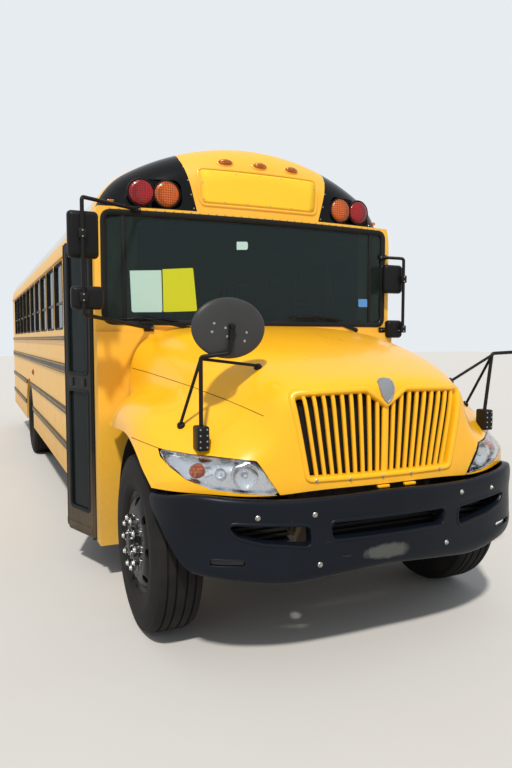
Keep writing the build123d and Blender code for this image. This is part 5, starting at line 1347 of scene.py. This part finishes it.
# Entrance door leaves: glazing gaskets, middle latch plates and assist handles
leaf = {
    "hingeX": -1.212, "open": 19.0, "width": .371, "inset": .045,
    # name, hinge's place along the bus, and 1 or -1 for the way that the leaf runs from it
    "leaves": [("Front", .138, 1), ("Rear", .888, -1)],
    "panes": [(.460, 1.330), (1.450, 2.342)],
    "gasket": [(.012, -.003), (.010, .004), (0, .006), (-.010, .003), (-.012, -.008)],
    "handle": (.10, 1.70, 2.15),
}


def onLeaf(face):  # lays places along and up on the outer (-1) or inner (1) face
    return lambda u, v, lift: Vector((face * (.017 + lift), u, v))


for name, hingeY, sign in leaf["leaves"]:
    turn = Matrix.Rotation(math.radians(sign * leaf["open"]), 4, "Z") @ Matrix.Diagonal((1, sign, 1, 1))
    place = Matrix.Translation(at(leaf["hingeX"], hingeY, 0)) @ turn
    gasketBm, plateBm, handleBm = bmesh.new(), bmesh.new(), bmesh.new()
    for low, high in leaf["panes"]:
        pane = rectangle(leaf["inset"], low, leaf["width"] - 2 * leaf["inset"], high - low, .03)
        for face in (-1, 1):
            addMoulding(gasketBm, evenLoop(pane, .02), onLeaf(face), leaf["gasket"])
    for face in (-1, 1):
        for y in (.075, .25):
            addBox(plateBm, (face * .016, y, 1.360), (face * .023, y + .055, 1.420), .003)
            for dy in (.012, .043):
                for z in (1.372, 1.408):
                    addHead(plateBm, (face * .023, y + dy, z), (face, 0, 0), .004)
        for z in (.36, .40, 2.36):
            for y in (.06, .19, .31):
                addHead(plateBm, (face * .017, y, z), (face, 0, 0), .005)
    addBox(plateBm, (-.022, .010, .300), (-.016, .361, .345), .002)
    y, low, high = leaf["handle"]
    addRod(handleBm, [(.017, y, low), (.075, y, low), (.075, y, high), (.017, y, high)], .012, .045, 4)
    for z in (low, high):
        addRound(handleBm, (.016, y, z), (.021, y, z), .024, 24, .022, .002)
    for part, bm, finishName, slotName, sharp in (
        ("leafGasket", gasketBm, "gasket", "black_paint", 40),
        ("leafPlates", plateBm, "satinBlack", "black_paint", 35),
        ("assistHandle", handleBm, "coachYellow", "yellow_paint", 40),
    ):
        bmesh.ops.transform(bm, matrix=place, verts=bm.verts)
        piece(part + name, bm, finishName, sharp, f"door_leaf_{name.lower()}")
print("doors")

# Sides: drip rails, rivets along the rails and panels, window gaskets and latches, and small amber lamps
flank = {
    "side": 1.206, "inner": 1.168, "railFace": 1.219,
    "begins": {"Right": 1.0, "Left": .22},  # the right side starts behind the entrance door
    # rub rails' heights and widths, and heights of the plain rivet rows
    "rails": [(1.708, .036), (1.430, .088), (1.047, .060), (.721, .060)], "rows": (2.436, .500, 1.775),
    "rivetStep": .085, "postStep": .075,
    "drip": [(-.004, 2.452), (.013, 2.440), (.015, 2.456), (.011, 2.456), (.009, 2.447), (-.002, 2.462)],
    "windows": 11, "first": 1.005, "pitch": .6985, "width": .620, "low": 1.797, "high": 2.417, "sash": 2.042,
    "gasket": [(.010, -.003), (.008, .003), (0, .004), (-.006, -.002), (-.006, -.012)],
    "driverWindow": (.170, .700),
    "lamps": [frontY + 1.35, 1.2], "lampZ": 1.24, "lampRadius": .030,
    "archRadius": .665,
}


def nearArch(y, z):
    return math.hypot(y - rearAxleY, z - tyreZ) < flank["archRadius"]


def postPlaces():  # places along the bus of the posts between the side windows
    gap = flank["pitch"] - flank["width"]
    places = [frontY + flank["first"] + i * flank["pitch"] - gap / 2 for i in range(flank["windows"] + 1)]
    return [y for y in places if y < tailY - .02]


for side, name in bothSides:
    begins = frontY + flank["begins"][name]
    outside, out = side * flank["side"], (side, 0, 0)
    bm = bmesh.new()
    for y in np.arange(begins + .03, tailY - .02, flank["rivetStep"]):
        for z, wide in flank["rails"]:
            for dz in (-.03, .03) if wide > .08 else (0.0,):
                if not nearArch(y, z):
                    addHead(bm, (side * flank["railFace"], y, z + dz), out, .0062, .0032, 6)
        for z in flank["rows"]:
            if not nearArch(y, z):
                addHead(bm, (outside, y, z), out, .0055, .0030, 6)
    for y in postPlaces():
        for z in np.arange(1.12, 2.40, flank["postStep"]):
            addHead(bm, (outside, y, z), out, .0055, .0030, 6)
    piece(f"rivets{name}", bm, "coachYellow", 30)
    bm = bmesh.new()
    addPrism(bm, [(side * (flank["side"] + dx), z) for dx, z in flank["drip"]], "Y", begins, tailY)
    beltZ = flank["rails"][0][0]
    addBox(bm, (outside, begins, beltZ - .052), (outside + side * .008, tailY, beltZ - .046), .001)
    piece(f"dripRail{name}", bm, "coachYellow", 30)
    openings = [(frontY + flank["first"] + i * flank["pitch"], flank["width"]) for i in range(flank["windows"])]
    if side > 0:
        start, width = flank["driverWindow"]
        openings.append((frontY + start, width))
    bm, latchBm = bmesh.new(), bmesh.new()
    for start, width in openings:
        loop = evenLoop(rectangle(start, flank["low"], width, flank["high"] - flank["low"], .034), .035)
        addMoulding(bm, loop, lambda u, v, lift: Vector((outside + side * lift, u, v)), flank["gasket"])
        for y in (start + .08, start + width - .08):
            inside, z = side * flank["inner"], flank["sash"]
            addBox(latchBm, (inside, y - .022, z + .012), (inside - side * .014, y + .022, z + .030), .004)
    piece(f"windowGaskets{name}", bm, "gasket", 40)
    piece(f"sashLatches{name}", latchBm, "zinc", 35)
    lensBm, bezelBm = bmesh.new(), bmesh.new()
    for y in flank["lamps"]:
        addLamp(lensBm, bezelBm, (outside + side * .001, y, flank["lampZ"]), Vector(out), flank["lampRadius"])
    piece(f"flankLenses{name}", lensBm, "amberLens", 50)
    piece(f"flankBezels{name}", bezelBm, "mouldedBlack", 40)
print("sides")

# Seats: padded cushions and backs, blown up as cloth before they are copied to every bench
bench = {
    "x": (.205, 1.148), "depth": .380, "low": 1.410, "seat": 1.520, "top": 2.160, "back": .070,
    "pitch": .660, "first": 1.750, "count": 11,
    "cell": .019, "pressure": 4.0, "frames": 14,
    # two corners of the driver's cushion and back, and how far each may swell
    "driver": [((.335, .812, 1.492), (.785, 1.235, 1.608), .014), ((.335, 1.252, 1.535), (.785, 1.348, 2.236), .012)],
    "pipingZ": (.052, 1.80), "piping": .004,
}


def pad(low, high, cap):  # a rounded block swollen by air pressure, but by no more than the cap
    bm = bmesh.new()
    addBox(bm, low, high, .022, 3)
    made = scratch(bm)
    bake(made, "REMESH", mode="VOXEL", voxel_size=bench["cell"])
    before = [v.co.copy() for v in made.data.vertices]
    cloth = made.modifiers.new("Cloth", "CLOTH")
    cloth.settings.use_pressure = True
    cloth.settings.uniform_pressure_force = bench["pressure"]
    cloth.settings.effector_weights.gravity = 0.0
    cloth.settings.quality = 4
    cloth.point_cache.frame_end = 20
    for frameNumber in range(1, bench["frames"] + 1):
        bpy.context.scene.frame_set(frameNumber)
    solid = made.evaluated_get(bpy.context.evaluated_depsgraph_get())
    swollen = bpy.data.meshes.new_from_object(solid)
    made.modifiers.clear()
    made.data = swollen
    bpy.context.scene.frame_set(1)
    for vert, place in zip(made.data.vertices, before):
        move = vert.co - place
        if move.length > cap:
            vert.co = place + move.normalized() * cap
    mesh = made.data
    bpy.data.objects.remove(made)
    return mesh


def seatPiece(name, pads):
    bm = bmesh.new()
    for mesh, places in pads:
        for place in places:
            start = len(bm.verts)
            bm.from_mesh(mesh)
            bm.verts.ensure_lookup_table()
            bmesh.ops.transform(bm, matrix=place, verts=bm.verts[start:])
    made = piece(name, bm, "benchVinyl", 60)
    return made


innerX, outerX = bench["x"]
halfWidth, middle = (outerX - innerX) / 2 - .012, (outerX + innerX) / 2
low, depth = bench["low"], bench["depth"]
cushionPad = pad((-halfWidth, .012, low + .010), (halfWidth, depth - .012, bench["seat"] - .014), .012)
backPad = pad((-halfWidth, .010, low + .012), (halfWidth, bench["back"] - .010, bench["top"] - .012), .009)
benchPlaces = [frontY + bench["first"] + i * bench["pitch"] for i in range(bench["count"])]
for side, name in bothSides:
    cushions = [Matrix.Translation((side * middle, y, 0)) for y in benchPlaces]
    backs = [Matrix.Translation((side * middle, y + depth + .0003, 0)) for y in benchPlaces]
    seatPiece(f"benches{name}", [(cushionPad, cushions), (backPad, backs)])
driverPads = [(pad(at(*low), at(*high), cap), [Matrix.Identity(4)]) for low, high, cap in bench["driver"]]
seatPiece("driverSeat", driverPads)
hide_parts("seats")
bm = bmesh.new()
lowZ, highZ = low + bench["pipingZ"][0], bench["pipingZ"][1]
for side in (-1, 1):
    for y in benchPlaces:
        for z, edgeY in ((lowZ, y + .010), (highZ, y + depth + bench["back"] - .010)):
            ends = [(side * (innerX + .03), edgeY, z), (side * (outerX - .03), edgeY, z)]
            addRod(bm, ends, bench["piping"], 0, 1)
piece("benchPiping", bm, "cabinBlack", 40)
print("seats")

# Dashboard: hooded panel, dials, column and a three-spoke steering wheel
dash = {
    # panel and dial hood: y, z corners and x from and to, edge radius
    "panel": ([(.047, 1.384), (.300, 1.384), (.372, 1.470), (.335, 1.640), (.250, 1.698), (.047, 1.698)],
              -.300, 1.070, .016),
    "dialHood": ([(.180, 1.690), (.352, 1.600), (.360, 1.640), (.250, 1.735), (.180, 1.725)], .330, .790, .010),
    "foot": (.560, .300, 1.500), "wheel": (.560, .560, 1.860), "rim": .225, "grip": .013,
    # dials: x, z, radius
    "dials": [(.43, 1.560, .045), (.56, 1.565, .045), (.69, 1.560, .045), (.43, 1.485, .022), (.50, 1.480, .022),
              (.62, 1.480, .022), (.69, 1.485, .022)],
    "buttons": (6, 2),
}
bm = bmesh.new()
for corners, low, high, edge in (dash["panel"], dash["dialHood"]):
    addPrism(bm, [(frontY + y, z) for y, z in corners], "X", low, high, edge)
foot, hub = at(*dash["foot"]), at(*dash["wheel"])
axis = (hub - foot).normalized()
addRound(bm, foot, foot.lerp(hub, .78), .040, 32, .030, .006)
addRound(bm, foot.lerp(hub, .70), hub + axis * .012, .024, 24, .030, .006)
turns = [math.tau * i / 16 for i in range(17)]
grip = [(dash["grip"] * math.sin(turn), dash["rim"] + dash["grip"] * math.cos(turn)) for turn in turns]
addSpin(bm, grip, hub, axis, 72)
right = Vector((1, 0, 0))
for spoke in (right, -right, axis.cross(right).normalized()):
    addRod(bm, [hub + spoke * .030, hub + spoke * .120 - axis * .012, hub + spoke * dash["rim"]], .011, .04, 3)
addRound(bm, hub - axis * .020, hub + axis * .022, .062, 32, .050, .008)
for side in (-1, 1):
    stalk = [foot.lerp(hub, .72) + Vector((side * .03, 0, 0)), foot.lerp(hub, .80) + Vector((side * .18, 0, .02))]
    addRod(bm, stalk, .006, 0, 2)
piece("dashboardPanel", bm, "cabinBlack", 35, replaced=["dashboard"])
bm = bmesh.new()
for x, z, radius in dash["dials"]:
    dial = [(-.004, radius), (.006, radius), (.008, radius - .004), (.003, radius - .006), (.002, .001)]
    addSpin(bm, dial, at(x, .372 - (z - 1.470) * .2176, z), Vector((0, .977, .213)), 32)
columns, lines = dash["buttons"]
for i in range(columns * lines):
    x, line = -.22 + (i % columns) * .07, i // columns
    addBox(bm, at(x, .355, 1.50 + line * .06), at(x + .035, .372 - line * .012, 1.535 + line * .06), .003)
piece("dials", bm, "plaqueGrey", 40)
print("dashboard")

# Rear: door and window gaskets, latch handle, blank number plate and rivets
tail = {
    # x, z of the lower corner, width, height, lower and upper corner radius
    "door": (-.330, 1.080, .660, 1.480, .02, .06),
    "window": (.500, 1.700, .520, .650, .04, .06),
    "gasket": [(.010, -.003), (.008, .003), (0, .005), (-.008, .003), (-.009, -.006)],
    "plate": (-.800, .900, .305, .155),  # middle x, z, width, height
    "plateEdge": [(0, .0005), (0, .004), (-.003, .005), (-.006, .0035), (-.007, .0005)],
    "handle": (.235, 1.620),
    "rivetRows": (.52, 1.035, 1.50), "rivetColumns": (-1.165, -.43, .43, 1.165), "rivetStep": .075,
    "lampRows": (1.25, 1.05),  # the columns leave room for the lamps there
}


def onTail(x, z, lift=0.0):
    return Vector((x, tailY + lift, z))


openings = [(rectangle(*tail["door"]), .012)]
openings += [([Vector(p) for p in sided(rectangle(*tail["window"]), side)], .004) for side in (1, -1)]
bm = bmesh.new()
for outline, gap in openings:
    addMoulding(bm, offsetLoop(evenLoop(outline, .025), gap), onTail, tail["gasket"])
piece("rearGaskets", bm, "gasket", 40)
bm = bmesh.new()
plateX, plateZ, width, height = tail["plate"]
loop = evenLoop(rectangle(plateX - width / 2, plateZ - height / 2, width, height, .012), .012)
addMoulding(bm, loop, onTail, tail["plateEdge"])
addPatch(bm, offsetLoop(loop, -.006), onTail, .0036, 3)
piece("numberPlate", bm, "paleCard", sharp=40)
bm = bmesh.new()
for dx in (-.089, .089):
    for dz in (-.0605, .0605):
        addHead(bm, onTail(plateX + dx, plateZ + dz, .0036), (0, 1, 0), .007, .004, 12)
piece("plateScrews", bm, "zinc")
bm = bmesh.new()
x, z = tail["handle"]
addBox(bm, onTail(x - .028, z - .075, .004), onTail(x + .028, z + .075, .020), .005)
addRod(bm, [onTail(x, z, .018), onTail(x, z, .040), onTail(x - .13, z, .044)], .009, .012, 3)
piece("rearHandle", bm, "satinBlack", 40, "emergency_door")
places = [(x, z) for x in np.arange(-1.15, 1.16, tail["rivetStep"]) for z in tail["rivetRows"]
          if abs(x) > .36 and math.hypot(x - plateX, z - plateZ) > .1]
places += [(x, z) for z in np.arange(.55, 2.30, tail["rivetStep"]) for x in tail["rivetColumns"]
           if all(abs(z - row) >= .035 for row in tail["lampRows"])]
bm = bmesh.new()
for x, z in places:
    addHead(bm, onTail(x, z), (0, 1, 0), .0055, .003, 6)
piece("rearRivets", bm, "coachYellow", 30)
print("rear")

# Roof: a double row of rivets over each frame hoop
roofTree = surfaceOf("roof_panel")
bm = bmesh.new()
for y in postPlaces():
    for x in np.arange(-1.02, 1.03, .072):
        for dy in (-.012, .012):
            found = cast(roofTree, (x, y + dy, 4), (0, 0, -1))
            if found:
                addHead(bm, *found, .0060, .0022, 6)
piece("roofRivets", bm, "roofWhite", 30)
print("roof")

# Stop arm: a blank octagon with a pale border and two red lamps
stopArm = {
    "x": 1.252, "y": .550, "z": 1.240, "radius": .206, "lampShift": .135, "lampRadius": .045,
    "border": [(.009, -.001), (.008, .0012), (-.008, .0012), (-.009, -.001)],
}
middle = at(stopArm["x"], stopArm["y"], stopArm["z"])
turns = [math.radians(22.5 + 45 * k) for k in range(8)]
octagon = [Vector((middle.y + stopArm["radius"] * math.cos(turn), middle.z + stopArm["radius"] * math.sin(turn)))
           for turn in turns]
bm = bmesh.new()
addMoulding(bm, octagon, lambda u, v, lift: Vector((middle.x + lift, u, v)), stopArm["border"])
piece("stopBorder", bm, "paleSticker", 20, "stop_sign_arm")
lensBm, bezelBm = bmesh.new(), bmesh.new()
for sign in (-1, 1):
    place = middle + Vector((0, 0, sign * stopArm["lampShift"]))
    addLamp(lensBm, bezelBm, place, Vector((1, 0, 0)), stopArm["lampRadius"])
piece("stopLenses", lensBm, "redLens", 50, "stop_sign_arm")
piece("stopBezels", bezelBm, "mouldedBlack", 40, "stop_sign_arm")
print("stop arm")

# Hood catches and tabs, wheelhouse liners, mud flaps and the hood's shut lines
fitting = {
    "catch": (.985, -.002, 1.330), "tabs": (-.015, .155),
    # liner: degrees from and to and step; x from and to; rows across at x share, radius
    "linerArc": (8, 161, 6), "linerX": (.60, 1.10),
    "linerRows": [(0, .655), (.5, .662), (1, .655), (1, .650), (.5, .657), (0, .650)],
    "flap": (.62, 1.17, .64, .230, .760), "ribs": 7, "ribPitch": .075,
}
bm = bmesh.new()
for side in (-1, 1):
    x, y, z = fitting["catch"]
    place = at(side * x, y, z)
    addBox(bm, place - Vector((.016, .012, .030)), place + Vector((.016, .002, .030)), .004)
    spring = [place + Vector(shift) for shift in ((0, -.014, -.024), (0, -.030, 0), (0, -.020, .034))]
    addRod(bm, spring, .006, .01, 3)
    addHead(bm, place + Vector((0, -.012, .020)), (0, -1, 0), .006)
piece("hoodCatches", bm, "zinc", 35)
bm = bmesh.new()
for x in fitting["tabs"]:
    addBox(bm, at(x - .036, -1.668, .915), at(x + .036, -1.645, .931), .005, 3)
piece("hoodTabs", bm, "hoodYellow", 40, "hood_assembly")
bm = bmesh.new()
inner, outer = fitting["linerX"]
for side in (-1, 1):
    rows = []
    for share, radius in fitting["linerRows"]:
        x = side * (inner + share * (outer - inner))
        turns = [math.radians(angle) for angle in range(*fitting["linerArc"])]
        arc = [(x, frontAxleY + radius * math.cos(turn), tyreZ + radius * math.sin(turn)) for turn in turns]
        rows.append([bm.verts.new(place) for place in arc])
    for first, second in zip(rows, rows[1:] + rows[:1]):
        for k in range(len(first) - 1):
            bm.faces.new((first[k], first[k + 1], second[k + 1], second[k]))
    bm.faces.new([row[0] for row in rows])
    bm.faces.new([row[-1] for row in reversed(rows)])
piece("wheelhouseLiners", bm, "gasket", 40, "hood_assembly")
bm = bmesh.new()
inner, outer, behind, low, high = fitting["flap"]
flapY = rearAxleY + behind
for side in (-1, 1):
    addBox(bm, (side * inner, flapY, low), (side * outer, flapY + .010, high), .003)
    for k in range(fitting["ribs"]):
        x = side * (inner + .05 + k * fitting["ribPitch"])
        addBox(bm, (x - .006, flapY + .009, low + .02), (x + .006, flapY + .013, high - .06), .002)
piece("mudFlaps", bm, "tyreRubber", 30)
bm = bmesh.new()
for side in (-1, 1):
    for line in hood["seams"]:
        places = []
        for first, second in zip(line, line[1:]):
            for share in (0, .25, .5, .75):
                near = at(*first).lerp(at(*second), share)
                places.append(hoodSurface.find_nearest(Vector((side * near.x, near.y, near.z)))[0])
        addRod(bm, places, hood["seamRadius"], 0, 1)
piece("hoodSeams", bm, "gasket", 60, "hood_assembly")
print("fittings")

low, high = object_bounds()
